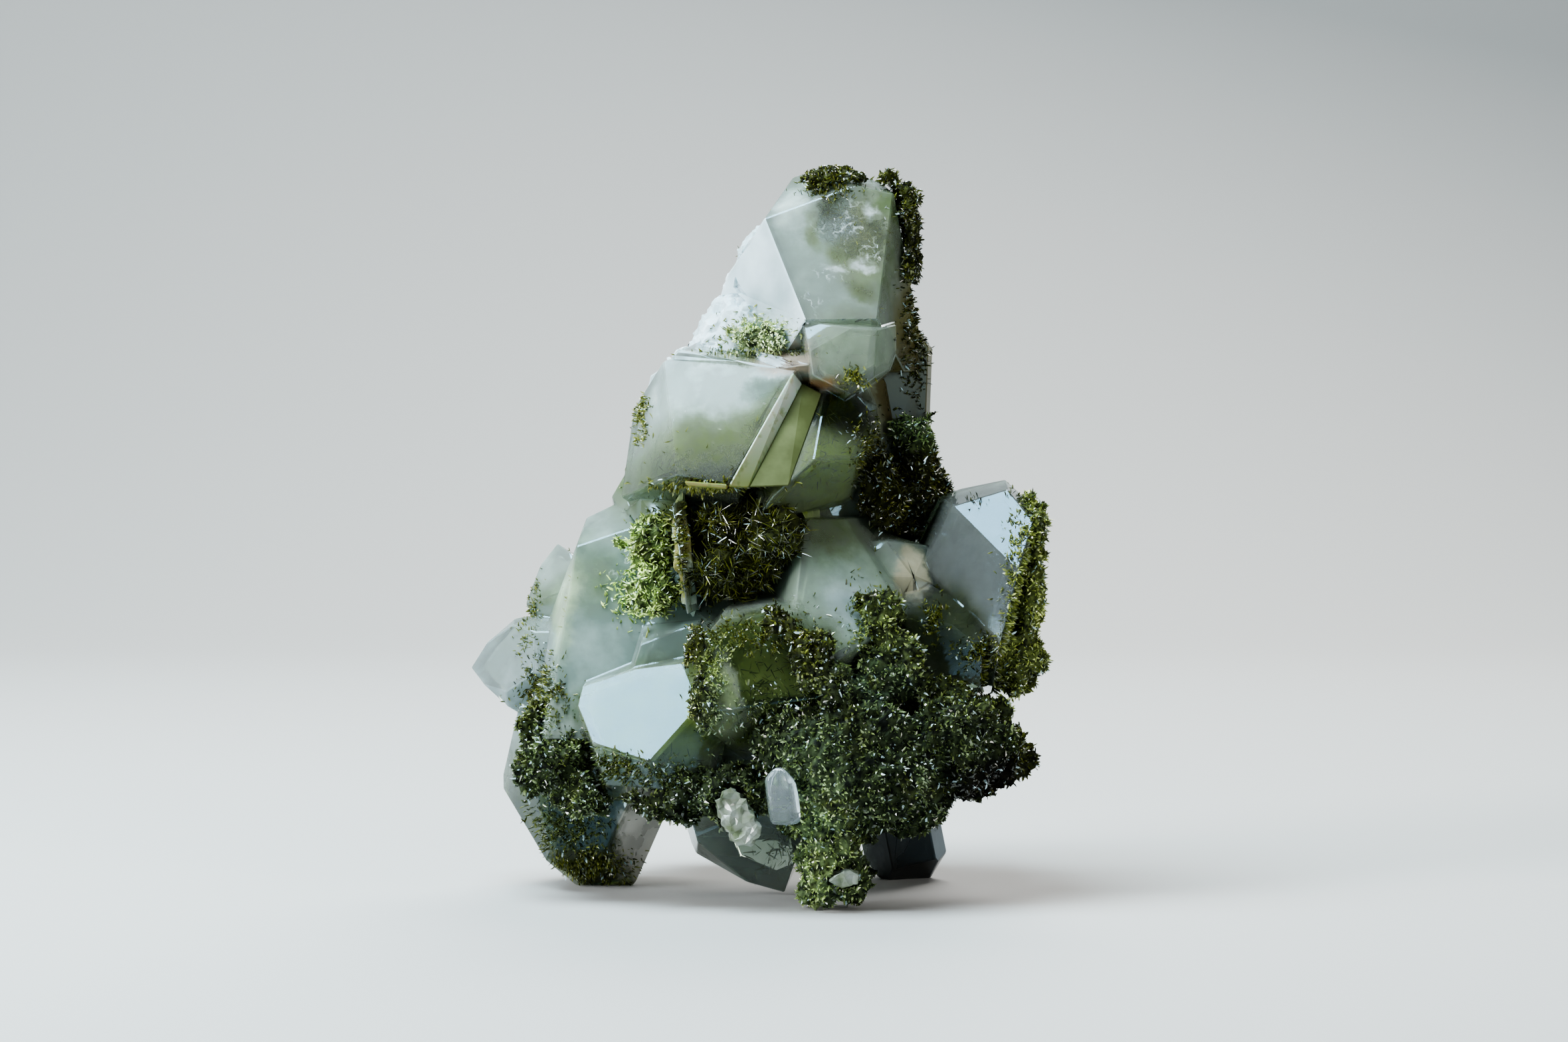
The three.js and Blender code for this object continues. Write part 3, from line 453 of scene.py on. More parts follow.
# the colour: the cloud's where it is hazy or deep green, white on the wall and cracks, and white on the
# edges as wear and painted highlight
deep = maths(tree, "MULTIPLY_ADD", spot(tree, coords, *DEEP_GREEN), 0.30, 0.35)
tinge = maths(tree, "MULTIPLY_ADD", hazier, 1.8, deep, clamp=True)
skin_tint = mix(tree, tinge, (0.95, 0.98, 0.96, 1), cloud)
wall_patches = noise_between(tree, coords, 150, 0.35, 0.7)
wall_white = mix(tree, wall_patches, (0.66, 0.77, 0.81, 1), (0.36, 0.45, 0.47, 1))
wall_tint = mix(tree, white_wall, skin_tint, wall_white)
whiter = maths(tree, "MAXIMUM", edge_wear_and_highlight, cracks)
# edges painted white: wear chips and painted edge highlights
edge_tint = mix(tree, whiter, wall_tint, (0.72, 0.80, 0.80, 1))
tree.links.new(edge_tint, shader.inputs["Base Color"])
clear = maths(tree, "SUBTRACT", 1, hazier, clamp=True)
tree.links.new(clear, shader.inputs["Transmission Weight"])
tree.links.new(span(tree, hazier, 0.3, 1.0, 0.05, 0.45), shader.inputs["Roughness"])
set_values(shader, {
    "IOR": QUARTZ_IOR,
    "Specular Tint": (0.46, 0.78, 1.0, 1),
    "Subsurface Weight": 0.4,
    "Subsurface Radius": (1.0, 1.0, 0.9),
    "Subsurface Scale": 0.0015,
})
relief = added(tree, "ShaderNodeBump")
set_values(relief, {"Strength": 0.10, "Distance": 0.0003})
tree.links.new(noise(tree, coords, 210, 1.5).outputs["Fac"], relief.inputs["Height"])
tree.links.new(relief.outputs["Normal"], shader.inputs["Normal"])
absorb = added(tree, "ShaderNodeVolumeAbsorption")
set_values(absorb, {"Color": (0.86, 0.92, 0.86, 1), "Density": 220})
tree.links.new(absorb.outputs["Volume"], tree.nodes["Material Output"].inputs["Volume"])
quartz.data.materials.append(quartz_skin)
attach(quartz, "root")
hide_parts("quartz_group")

# The cloud in the crystals: the milky and green quartz that grew first, under a clear skin
CLOUD_DEPTH = 0.0011
cloud_body = copy_of("quartz_group", "quartz_cloud")
apply_modifier(cloud_body, "REMESH", mode="VOXEL", voxel_size=0.0006)
# no cloud in the clear side of the bottom left crystal, nor in the clear one that hangs beside it
CLEAR_FEET = (((-25, -3, 5), (4.2, 9, 6.5)), ((-1.5, -4, 0.5), (8.5, 14, 6.0)))
for centre, radii in CLEAR_FEET:
    bpy.ops.object.select_all(action="DESELECT")
    bpy.ops.mesh.primitive_ico_sphere_add(subdivisions=4, radius=1, location=place(*centre))
    clearing = bpy.context.object
    clearing.scale = [r * 0.001 for r in radii]
    bpy.ops.object.transform_apply(location=True, rotation=False, scale=True)
    apply_modifier(cloud_body, "BOOLEAN", operation="DIFFERENCE", object=clearing, solver="EXACT")
    bpy.data.objects.remove(clearing)
apply_modifier(cloud_body, "DISPLACE", strength=-CLOUD_DEPTH, mid_level=0.0)
billows = bpy.data.textures.new("billows", "CLOUDS")
billows.noise_scale = 0.004
apply_modifier(
    cloud_body, "DISPLACE", strength=-0.0009, mid_level=0.4, texture=billows,
    texture_coords="LOCAL",
)
apply_modifier(cloud_body, "SMOOTH", factor=0.5, iterations=6)
quartz_cloud, tree, shader = new_material("quartz_cloud")
coords = object_coords(tree)
cloud = zone_fields(tree, coords)[0]
mottle = noise_between(tree, coords, 420, 0.38, 0.66)
mottle_tint = mix(tree, mottle, (1.12, 1.12, 1.12, 1), (0.62, 0.66, 0.52, 1))
shade = mix(tree, 0.75, cloud, mottle_tint, blend="MULTIPLY")
tree.links.new(shade, shader.inputs["Base Color"])
set_values(shader, {
    "Roughness": 0.8,
    "Specular IOR Level": 0.05,
    "Subsurface Weight": 0.3,
    "Subsurface Radius": (1.0, 1.0, 0.9),
    "Subsurface Scale": 0.0015,
})
cloud_body.data.materials.append(quartz_cloud)
bpy.ops.object.shade_smooth()
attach(cloud_body, "root")


# Quartz blades
# Thin blades grown in the seams between the crystals: a cream to yellow-green one beside the green
# crystal, the healed green stone that fills the groove next to it, and a pale green ledge at the foot
# of the middle left crystal.

blade_stone, tree, shader = new_material("blade_stone")
coords = object_coords(tree)
height = added(tree, "ShaderNodeSeparateXYZ")
tree.links.new(coords, height.inputs[0])
paler = span(tree, height.outputs["Z"], 0.0395, 0.0480)
blade_tint = mix(tree, paler, (0.20, 0.26, 0.08, 1), (0.60, 0.68, 0.60, 1))
specks = noise_between(tree, coords, 900, 0.55, 0.7)
speckled = mix(tree, specks, blade_tint, (0.62, 0.66, 0.45, 1), blend="MULTIPLY")
tree.links.new(speckled, shader.inputs["Base Color"])
set_values(shader, {
    "Transmission Weight": 0.25,
    "Roughness": 0.12,
    "IOR": QUARTZ_IOR,
    "Subsurface Weight": 0.5,
    "Subsurface Scale": 0.002,
})

healed_green, tree, shader = new_material("healed_green")
mottle = noise_between(tree, object_coords(tree), 330, 0.40, 0.68)
green_mottle = mix(tree, mottle, (0.062, 0.074, 0.024, 1), (0.104, 0.124, 0.050, 1))
tree.links.new(green_mottle, shader.inputs["Base Color"])
set_values(shader, {"Roughness": 0.6, "Specular IOR Level": 0.12})

# Each blade: its eight corners in the part's millimetres, front four then back four
QUARTZ_BLADES = {
    "seam_blade": (
        (3.1, -3.3, 50.0), (4.0, -2.3, 48.9), (-1.1, -8.6, 39.1), (-3.1, -9.5, 39.2),
        (2.4, -1.0, 49.4), (3.4, 0.0, 48.0), (-0.8, -3.0, 39.4), (-2.4, -3.0, 39.4),
    ),
    "green_wedge": (
        (3.95, -2.32, 48.95), (5.9, -2.6, 47.9), (2.7, -8.9, 39.3), (-1.12, -8.6, 39.15),
        (3.4, 0.4, 48.3), (5.6, 0.4, 47.4), (2.6, -3.0, 39.4), (-0.4, -3.0, 39.2),
    ),
    "green_ledge": (
        (-7.2, -9.7, 39.8), (-3.1, -10.2, 39.5), (-3.1, -10.0, 39.0), (-6.9, -9.5, 39.3),
        (-6.8, -5.0, 39.6), (-3.1, -5.0, 39.3), (-3.2, -5.0, 38.8), (-6.6, -5.0, 39.0),
    ),
}
for name, blade_corners in QUARTZ_BLADES.items():
    bpy.ops.object.select_all(action="DESELECT")
    bpy.ops.mesh.primitive_cube_add(size=1)
    blade = bpy.context.object
    blade.name = name
    for corner in blade.data.vertices:
        up, right, back = corner.co.z > 0, corner.co.x > 0, corner.co.y > 0
        index = (0 if not right else 1) if up else (3 if not right else 2)
        corner.co = place(*blade_corners[index + (4 if back else 0)])
    apply_modifier(blade, "BEVEL", width=0.00015, segments=1, limit_method="ANGLE")
    blade.data.materials.append(healed_green if name == "green_wedge" else blade_stone)
    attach(blade, "root")


# Loose quartz bits
# A milky flake and a chip that broke off and were caught by the crust, and one small clear point in it.

bit_stone, tree, shader = new_material("milky_bit")
grains = noise_between(tree, object_coords(tree), 700, 0.35, 0.65)
bit_tint = mix(tree, grains, (0.22, 0.27, 0.16, 1), (0.46, 0.51, 0.46, 1))
tree.links.new(bit_tint, shader.inputs["Base Color"])
set_values(shader, {"Transmission Weight": 0.45, "Roughness": 0.18, "IOR": QUARTZ_IOR})

clear_stone, tree, shader = new_material("clear_point")
veil = noise_between(tree, object_coords(tree), 240, 0.55, 0.7, detail=1)
tree.links.new(span(tree, veil, 0, 1, 0.02, 0.35), shader.inputs["Roughness"])
set_values(shader, {
    "Base Color": (0.74, 0.84, 0.88, 1),
    "Transmission Weight": 0.9,
    "IOR": QUARTZ_IOR,
})

# node: how finely it is broken up and how deep, in metres, and the share of faces that is left
BITS = {
    "quartz_flake": (0.00016, 0.0013, 0.10),
    "quartz_chip": (0.00016, 0.0009, 0.10),
    "quartz_clear_point": (0, 0, 1),
}
for node, (grain, relief_depth, kept) in BITS.items():
    bit = copy_of(node, node.replace("quartz", "broken"))
    if grain:
        apply_modifier(bit, "REMESH", mode="VOXEL", voxel_size=grain)
        broken = bpy.data.textures.new("broken", "CLOUDS")
        broken.noise_scale = 0.0010
        apply_modifier(
            bit, "DISPLACE", strength=relief_depth, mid_level=0.62, texture=broken, texture_coords="LOCAL"
        )
        apply_modifier(bit, "DECIMATE", decimate_type="COLLAPSE", ratio=kept)
        bpy.ops.object.shade_smooth_by_angle(angle=math.radians(16))
    else:
        bpy.ops.object.mode_set(mode="EDIT")
        bpy.ops.mesh.select_all(action="SELECT")
        bpy.ops.mesh.subdivide(number_cuts=5)
        bpy.ops.object.mode_set(mode="OBJECT")
        apply_modifier(bit, "SMOOTH", factor=0.5, iterations=14)
        bpy.ops.object.shade_smooth_by_angle(angle=math.radians(25))
    bit.data.materials.append(bit_stone if grain else clear_stone)
    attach(bit, "root")
    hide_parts(node)


# Epidote crusts
# Druses of short epidote prisms, dark olive to yellow-green, grown on the quartz and in its hollows.
# Each crust is a dark mat with its prisms standing on it, their tips where the solid's surface is.

NEEDLE_SIDES = 3


def needle_shape():
    """One prism with a slanted end, 1 long and 1 wide, its foot at the origin."""
    bpy.ops.object.select_all(action="DESELECT")
    bpy.ops.mesh.primitive_cylinder_add(
        vertices=NEEDLE_SIDES, radius=0.5, depth=1, location=(0, 0, 0.5), end_fill_type="NGON"
    )
    needle = bpy.context.object
    bpy.ops.object.transform_apply(location=True, rotation=False, scale=False)
    bpy.ops.object.mode_set(mode="EDIT")
    bpy.ops.mesh.select_mode(type="VERT")
    bpy.ops.mesh.select_all(action="DESELECT")
    shape = bmesh.from_edit_mesh(needle.data)
    for corner in shape.verts:
        corner.select_set(corner.co.z > 0.5 and corner.co.y < 0)
    bmesh.update_edit_mesh(needle.data)
    bpy.ops.transform.translate(value=(0, 0.15, -0.35))
    bpy.ops.object.mode_set(mode="OBJECT")
    mesh = needle.data
    corners = np.array([corner.co for corner in mesh.vertices])
    faces = [list(face.vertices) for face in mesh.polygons]
    bpy.data.objects.remove(needle)
    return corners, faces


NEEDLE_CORNERS, NEEDLE_FACES = needle_shape()


def needles_mesh(feet, directions, lengths, widths, tones):
    """Corners, faces and tones of many prisms, one for each foot."""
    rng = np.random.default_rng(len(feet) + 11)
    directions = directions / np.linalg.norm(directions, axis=1)[:, None]
    helper = np.where(np.abs(directions[:, 2:3]) < 0.9, [[0, 0, 1.0]], [[1.0, 0, 0]])
    side = np.cross(directions, helper)
    side /= np.linalg.norm(side, axis=1)[:, None]
    other = np.cross(directions, side)
    spin = rng.uniform(0, 2 * math.pi, len(feet))[:, None]
    first = side * np.cos(spin) + other * np.sin(spin)
    second = np.cross(directions, first)
    local = NEEDLE_CORNERS
    corners = (
        feet[:, None, :]
        + local[None, :, 0:1] * widths[:, None, None] * first[:, None, :]
        + local[None, :, 1:2] * (widths * 0.7)[:, None, None] * second[:, None, :]
        + local[None, :, 2:3] * lengths[:, None, None] * directions[:, None, :]
    ).reshape(-1, 3)
    count = len(local)
    faces = [[index + count * n for index in face] for n in range(len(feet)) for face in NEEDLE_FACES]
    heights = np.tile(local[:, 2], len(feet))
    return corners, faces, np.repeat(tones, count), heights


def mesh_piece(name, corners, faces, tones, heights, mat_count=0):
    mesh = bpy.data.meshes.new(name)
    corners = np.clip(corners, cad_box[0], cad_box[1])
    mesh.from_pydata(corners.tolist(), [], faces)
    for label, values in (("tone", tones), ("height", heights)):
        layer = mesh.attributes.new(label, "FLOAT", "POINT")
        layer.data.foreach_set("value", np.asarray(values, np.float32))
    mesh.validate()
    piece = bpy.data.objects.new(name, mesh)
    bpy.context.scene.collection.objects.link(piece)
    mesh.materials.append(epidote)
    mesh.materials.append(epidote_mat)
    kinds = np.zeros(len(faces), np.int32)
    kinds[:mat_count] = 1
    mesh.polygons.foreach_set("material_index", kinds)
    return piece


def surface_points(mesh, count, rng):
    """Evenly scattered points on a mesh with its normals."""
    mesh.calc_loop_triangles()
    corners = np.array([corner.co for corner in mesh.vertices])
    triangles = np.array([triangle.vertices for triangle in mesh.loop_triangles])
    a, b, c = (corners[triangles[:, k]] for k in range(3))
    cross = np.cross(b - a, c - a)
    areas = np.linalg.norm(cross, axis=1) / 2
    chosen = rng.choice(len(triangles), count, p=areas / areas.sum())
    u, v = rng.random(count)[:, None], rng.random(count)[:, None]
    over = (u + v) > 1
    u, v = np.where(over, 1 - u, u), np.where(over, 1 - v, v)
    points = a[chosen] + u * (b - a)[chosen] + v * (c - a)[chosen]
    normals = cross[chosen] / (2 * areas[chosen])[:, None]
    return points, normals, areas.sum()


# Where the epidote differs: centre, radii, softness, and how its colour is multiplied there
EPIDOTE_TINTS = [
    ("blue_green_front", (8, -12, 9), (20, 12, 13), 0.3, (0.98, 1.18, 2.6)),
    ("blue_green_left", (-19, -7, 11), (7, 7, 7), 0.4, (1.0, 1.22, 2.4)),
    ("pale_neck", (11, -12, 25), (4.5, 7, 5), 0.5, (1.9, 2.1, 3.4)),
    ("brown_black_chunk", (21.5, -8, 11.2), (5, 9, 3.2), 0.4, (0.12, 0.08, 0.06)),
    # the foot is greyer, and painted paler still as light over its shade
    ("grey_and_lit_foot", (5.0, -16, 4), (4.6, 8, 5.5), 0.5, (3.4, 3.3, 3.2)),
    ("pale_by_clear_point", (5.0, -16, 12), (3.4, 6, 4), 0.6, (2.2, 2.2, 2.4)),
    ("yellow_nest_left", (-12, -4, 31), (4, 7, 6), 0.4, (3.8, 4.5, 7.6)),
    ("pale_shoulder", (0, 0, 53.4), (4, 4, 2.5), 0.4, (3.4, 3.7, 9.0)),
    ("pale_block", (-3.8, -13, 20.5), (2.4, 4, 4.6), 0.4, (2.7, 3.0, 5.5)),
    ("dark_middle_right", (13, 0, 39), (6, 8, 6), 0.3, (0.7, 0.65, 0.6)),
    ("blue_green_knob", (15.2, 0, 44.8), (3.2, 6, 2.4), 0.5, (2.2, 3.0, 6.5)),
    ("bright_right_edge", (26, -5, 28), (4, 9, 12), 0.3, (2.9, 3.0, 4.2)),
]


def tinted_by_place(tree, coords, leaf):
    """The epidote's colour, changed where that part of the group differs."""
    patchy = noise_between(tree, coords, 260, 0.22, 0.45)
    for name, centre, radii, soft, tint in EPIDOTE_TINTS:
        here = maths(tree, "MULTIPLY", spot(tree, coords, centre, radii, soft), patchy)
        leaf = mix(tree, here, leaf, (*tint, 1), blend="MULTIPLY", label=name)
    return leaf


# Epidote itself: glassy, dark olive at the foot, yellow-green and brighter at the tips
epidote, tree, shader = new_material("epidote_needles")
tone, height = attribute(tree, "tone"), attribute(tree, "height")
ramp = added(tree, "ShaderNodeValToRGB")
ramp.color_ramp.elements[0].position = 0.05
ramp.color_ramp.elements[0].color = (0.008, 0.011, 0.003, 1)
ramp.color_ramp.elements[1].position = 1.0
ramp.color_ramp.elements[1].color = (0.40, 0.42, 0.10, 1)
for position, tint in (
    (0.30, (0.028, 0.036, 0.006, 1)),
    (0.60, (0.105, 0.120, 0.018, 1)),
):
    ramp.color_ramp.elements.new(position).color = tint
tree.links.new(maths(tree, "MULTIPLY_ADD", height, 0.30, tone), ramp.inputs["Fac"])
leaf = tinted_by_place(tree, object_coords(tree), ramp.outputs["Color"])
# a few needles are painted pale blue-white as glints: painted highlights, the same from every side
PAINTED_GLINT_TONE = 0.95
painted_glint = maths(tree, "GREATER_THAN", tone, PAINTED_GLINT_TONE)
tree.links.new(mix(tree, painted_glint, leaf, (0.56, 0.74, 0.78, 1)), shader.inputs["Base Color"])
set_values(shader, {"Roughness": 0.14, "IOR": 1.74})

# The mat at the foot of the needles: the same mineral, dull, and painted near-black as shade in the
# crevices between the prisms
epidote_mat, tree, shader = new_material("epidote_mat")
coords = object_coords(tree)
packed = noise_between(tree, coords, 1300, 0.38, 0.66)
# near-black to dark olive: painted shade in the crevices
mat_crevice_shade_tint = mix(tree, packed, (0.004, 0.005, 0.0015, 1), (0.042, 0.050, 0.010, 1))
tree.links.new(tinted_by_place(tree, coords, mat_crevice_shade_tint), shader.inputs["Base Color"])
set_values(shader, {"Roughness": 0.85, "Specular IOR Level": 0.15})

CRUST_REMESH = 0.00042
# Relief of the mat: kind, scale and depth in metres, and its middle level
MAT_RELIEF = (("CLOUDS", 0.0026, 0.0014, 0.5), ("VORONOI", 0.0013, -0.0014, 0.25))
# The share of needles painted pale as glints, painted highlights
PAINTED_GLINT_SHARE = 0.035
quartz_faces = BVHTree.FromObject(quartz, bpy.context.evaluated_depsgraph_get())


def drop_crumbs(piece):
    """Takes away all but the largest joined part of a mat."""
    bpy.ops.object.select_all(action="DESELECT")
    piece.select_set(True)
    bpy.context.view_layer.objects.active = piece
    bpy.ops.object.mode_set(mode="EDIT")
    mat = bmesh.from_edit_mesh(piece.data)
    mat.faces.ensure_lookup_table()
    left, parts = set(mat.faces), []
    while left:
        part, edge = set(), [left.pop()]
        while edge:
            face = edge.pop()
            part.add(face)
            for side in face.edges:
                for other in side.link_faces:
                    if other in left:
                        left.remove(other)
                        edge.append(other)
        parts.append(part)
    parts.sort(key=len)
    crumbs = [face for part in parts[:-1] for face in part]
    bmesh.ops.delete(mat, geom=crumbs, context="FACES")
    bmesh.update_edit_mesh(piece.data)
    bpy.ops.object.mode_set(mode="OBJECT")


def crust(node, spacing, size, seed, tone, sink, widest):
    """The mat under the prisms, from the node's own shape, and the prisms on it."""
    rng = np.random.default_rng(seed)
    name = node + "_druse"
    piece = copy_of(node, name)
    apply_modifier(piece, "REMESH", mode="VOXEL", voxel_size=CRUST_REMESH)
    apply_modifier(piece, "SMOOTH", factor=0.5, iterations=2)
    for kind, scale, depth, level in MAT_RELIEF:
        relief = bpy.data.textures.new(name, kind)
        relief.noise_scale = scale
        apply_modifier(
            piece, "DISPLACE", strength=depth, mid_level=level, texture=relief,
            texture_coords="LOCAL",
        )
    apply_modifier(piece, "DISPLACE", strength=-sink, mid_level=0.0)
    drop_crumbs(piece)
    points, normals, area = surface_points(piece.data, 10, rng)
    count = int(area / spacing ** 2)
    points, normals, area = surface_points(piece.data, count, rng)
    lengths = size * rng.uniform(0.5, 1.4, count)
    widths = np.minimum(size * rng.uniform(0.30, 0.64, count), widest)
    tilt = rng.normal(0, 1, (count, 3)) * 0.9
    tilt -= normals * np.minimum((tilt * normals).sum(axis=1), 0)[:, None]
    directions = normals * 0.45 + tilt
    patches = np.sin(points @ np.array([900.0, 500.0, 700.0]))
    patches = patches * np.sin(points @ np.array([-600.0, 800.0, 400.0]))
    tones = np.clip(tone + 0.6 * (rng.random(count) - 0.5) + 0.18 * patches, 0, 0.9)
    # a share of the prisms gets the top tone, painted pale as glints (painted highlights)
    tones[rng.random(count) < PAINTED_GLINT_SHARE] = 1.0
    feet = points - normals * 0.0001
    # only the prisms that don't run into the quartz are kept
    clear = [
        quartz_faces.ray_cast(Vector(foot), Vector(way).normalized(), reach)[0] is None
        for foot, way, reach in zip(feet.tolist(), directions.tolist(), (lengths * 1.1).tolist())
    ]
    corners, faces, needle_tones, heights = needles_mesh(
        *(values[clear] for values in (feet, directions, lengths, widths, tones))
    )
    base = np.array([corner.co for corner in piece.data.vertices])
    mat_faces = [list(face.vertices) for face in piece.data.polygons]
    start = len(base)
    corners = np.vstack([base, corners])
    faces = mat_faces + [[index + start for index in face] for face in faces]
    tones = np.concatenate([np.full(start, 0.02), needle_tones])
    heights = np.concatenate([np.zeros(start), heights])
    bpy.data.objects.remove(piece)
    piece = mesh_piece(name, corners, faces, tones, heights, len(mat_faces))
    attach(piece, "root")
    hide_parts(node)


# node: spacing and size of its prisms in metres, seed, tone, how deep the mat lies under the surface,
# and how wide its prisms get
CRUSTS = {
    "epidote_crown": (0.00027, 0.00050, 1, 0.28, 0.00015, 0.00018),
    "epidote_crest": (0.00027, 0.00045, 2, 0.34, 0.00015, 0.00018),
    "epidote_shoulder": (0.00024, 0.00045, 3, 0.52, 0.00005, 0.00018),
    "epidote_middle_right": (0.00029, 0.00060, 4, 0.22, 0.00025, 0.00020),
    "epidote_nest": (0.00036, 0.00130, 5, 0.24, 0.00200, 0.00013),
    "epidote_nest_left": (0.00027, 0.00060, 6, 0.44, 0.00030, 0.00017),
    "epidote_left_lump": (0.00028, 0.00048, 7, 0.28, 0.00015, 0.00026),
    "epidote_right_edge": (0.00028, 0.00050, 8, 0.28, 0.00005, 0.00020),
    "epidote_block_left": (0.00026, 0.00045, 9, 0.38, 0.00010, 0.00020),
    "epidote_front_mass": (0.00034, 0.00050, 10, 0.28, 0.00015, 0.00032),
    "epidote_back_upper": (0.00036, 0.00060, 11, 0.28, 0.00020, 0.00024),
    "epidote_back_lower": (0.00036, 0.00060, 12, 0.28, 0.00020, 0.00024),
}
for node, row in CRUSTS.items():
    crust(node, *row)


# Epidote dustings
# Thin moss of the same needles straight on the faces of the quartz, where no crust is thick enough
# to be a solid: patches on the crystals' edges, and round the rims of the crusts.

# How far needles scatter round a patch's centre, as a share of its radii, how deep their feet go
# into the stone in metres, and how thin the moss may get before it leaves a gap
SCATTER = 0.55
FOOT_DEPTH = 0.00005
CLUMP_LIMIT = -0.35


def quartz_face(start, way):
    """Where a ray meets the quartz, and the normal there, or None for both."""
    hit, normal, *_ = quartz_faces.ray_cast(start, Vector(way))
    return hit, normal


def face_under(x, z):
    """Where the quartz's front face is, at that x and z of the part in millimetres."""
    return quartz_face(place(x, -60, z), (0, 1, 0))


def scattered(centre, radii, count, rng):
    """Places round a centre, fewer and fewer outwards."""
    for _ in range(count):
        first = centre[0] + radii[0] * rng.normal() * SCATTER
        yield first, centre[1] + radii[1] * rng.normal() * SCATTER


def uneven(level, rng, spread=0.5, top=0.9):
    return min(top, max(0, level + spread * (rng.random() - 0.5)))


def planted(name, feet, directions, lengths, tones, slim, rng):
    """A piece of prisms, each as wide as a share of its length between the two in `slim`."""
    feet, directions, lengths, tones = (
        np.array(values) for values in (feet, directions, lengths, tones)
    )
    widths = lengths * rng.uniform(*slim, len(lengths))
    return mesh_piece(name, *needles_mesh(feet, directions, lengths, widths, tones))


# The right crystal's side, which the camera sees edge on: its middle y and z and its radii in
# millimetres, needles, size in metres, tone, and the least x in metres that counts as that side
SIDE_PATCH = ((-5.0, 26.0), (5.0, 8.0), 3600, 0.0006, 0.24)
SIDE_LEAST_X = 0.019

# centre x and z, radii in x and z, needles, size in metres, tone
DUST_PATCHES = [
    ((-9.7, 33.7), (2.6, 3.2), 900, 0.0005, 0.45),
    ((-11.5, 28.6), (3.0, 2.4), 800, 0.0006, 0.55),
    ((-4.6, 21.6), (1.5, 4.4), 1300, 0.0004, 0.46),
    ((-3.4, 25.2), (2.2, 1.4), 600, 0.0004, 0.40),
    ((1.3, 25.6), (3.6, 1.8), 1000, 0.0005, 0.40),
    ((0.6, 18.4), (2.6, 2.4), 700, 0.0005, 0.36),
    ((26.0, 33.0), (0.8, 4.6), 900, 0.0006, 0.34),
    ((5.0, 21.4), (1.6, 3.0), 500, 0.0005, 0.30),
    ((-11.5, 46.0), (0.8, 3.2), 520, 0.0005, 0.60),
    ((-5.0, 39.2), (5.0, 0.6), 900, 0.0005, 0.55),
    ((15.0, 54.5), (1.4, 6.0), 1500, 0.0005, 0.20),
    ((8.8, 49.3), (1.3, 0.9), 300, 0.0005, 0.60),
    ((10.6, 42.0), (1.6, 3.4), 900, 0.0005, 0.40),
    ((-13.9, 13.2), (3.2, 1.4), 900, 0.0005, 0.34),
    ((-8.0, 12.3), (3.8, 1.3), 1000, 0.0005, 0.38),
    ((-20.8, 19.2), (2.2, 3.0), 1500, 0.0005, 0.42),
    ((-17.6, 14.6), (1.6, 1.8), 600, 0.0005, 0.34),
    ((-7.7, 33.0), (0.8, 3.8), 1100, 0.0005, 0.40),
    ((-2.2, 11.2), (2.4, 0.8), 500, 0.0004, 0.40),
    ((6.6, 67.6), (2.6, 1.0), 420, 0.0005, 0.42),
    ((24.6, 29.3), (1.6, 7.0), 1800, 0.0005, 0.40),
    ((21.8, 23.6), (3.4, 1.4), 1200, 0.0005, 0.38),
    ((-16.0, 2.2), (3.4, 1.8), 1200, 0.0005, 0.46),
    ((16.4, 26.6), (1.0, 1.6), 420, 0.0005, 0.40),
    ((10.3, 25.8), (2.0, 3.6), 1000, 0.0005, 0.38),
    ((-0.4, 53.6), (3.0, 1.5), 1300, 0.0005, 0.62),
    ((-1.0, 51.8), (4.4, 0.4), 420, 0.0004, 0.42),
    ((-16.8, 2.4), (2.0, 1.0), 300, 0.0005, 0.40),
    ((20.4, 37.6), (1.2, 0.7), 40, 0.0004, 0.10),
    ((-22.6, 26.5), (1.0, 3.6), 500, 0.0004, 0.62),
    ((-18.5, 6.2), (3.4, 2.8), 1500, 0.0005, 0.40),
]


def dusting():
    rng = np.random.default_rng(77)
    feet, directions, lengths, tones = [], [], [], []
    for centre, radii, count, size, tone_level in DUST_PATCHES:
        for x, z in scattered(centre, radii, count, rng):
            clump = math.sin(x * 2.9 + 1.3) * math.sin(z * 2.3)
            clump += math.sin(x * 6.1) * math.sin(z * 5.3 + 2)
            hit, normal = face_under(x, z)
            if hit is None or clump < CLUMP_LIMIT:
                continue
            feet.append(hit - normal * FOOT_DEPTH)
            way = normal + Vector(rng.normal(0, 0.75, 3))
            directions.append(way.normalized() if way.dot(normal) > 0.15 else normal)
            lengths.append(size * rng.uniform(0.5, 1.4))
            # a share of the needles gets the top tone, painted pale as glints (painted highlights)
            tones.append(1.0 if rng.random() < PAINTED_GLINT_SHARE else uneven(tone_level - 0.08, rng))
    centre, radii, count, size, tone_level = SIDE_PATCH
    for y, z in scattered(centre, radii, count, rng):
        hit, normal = quartz_face(place(60, y, z), (-1, 0, 0))
        if hit is None or hit.x < SIDE_LEAST_X:
            continue
        feet.append(hit - normal * FOOT_DEPTH)
        directions.append((normal + Vector(rng.normal(0, 0.6, 3))).normalized())
        lengths.append(size * rng.uniform(0.5, 1.6))
        tones.append(uneven(tone_level, rng))
    piece = planted("epidote_dusting", feet, directions, lengths, tones, (0.2, 0.38), rng)
    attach(piece, "root")


dusting()

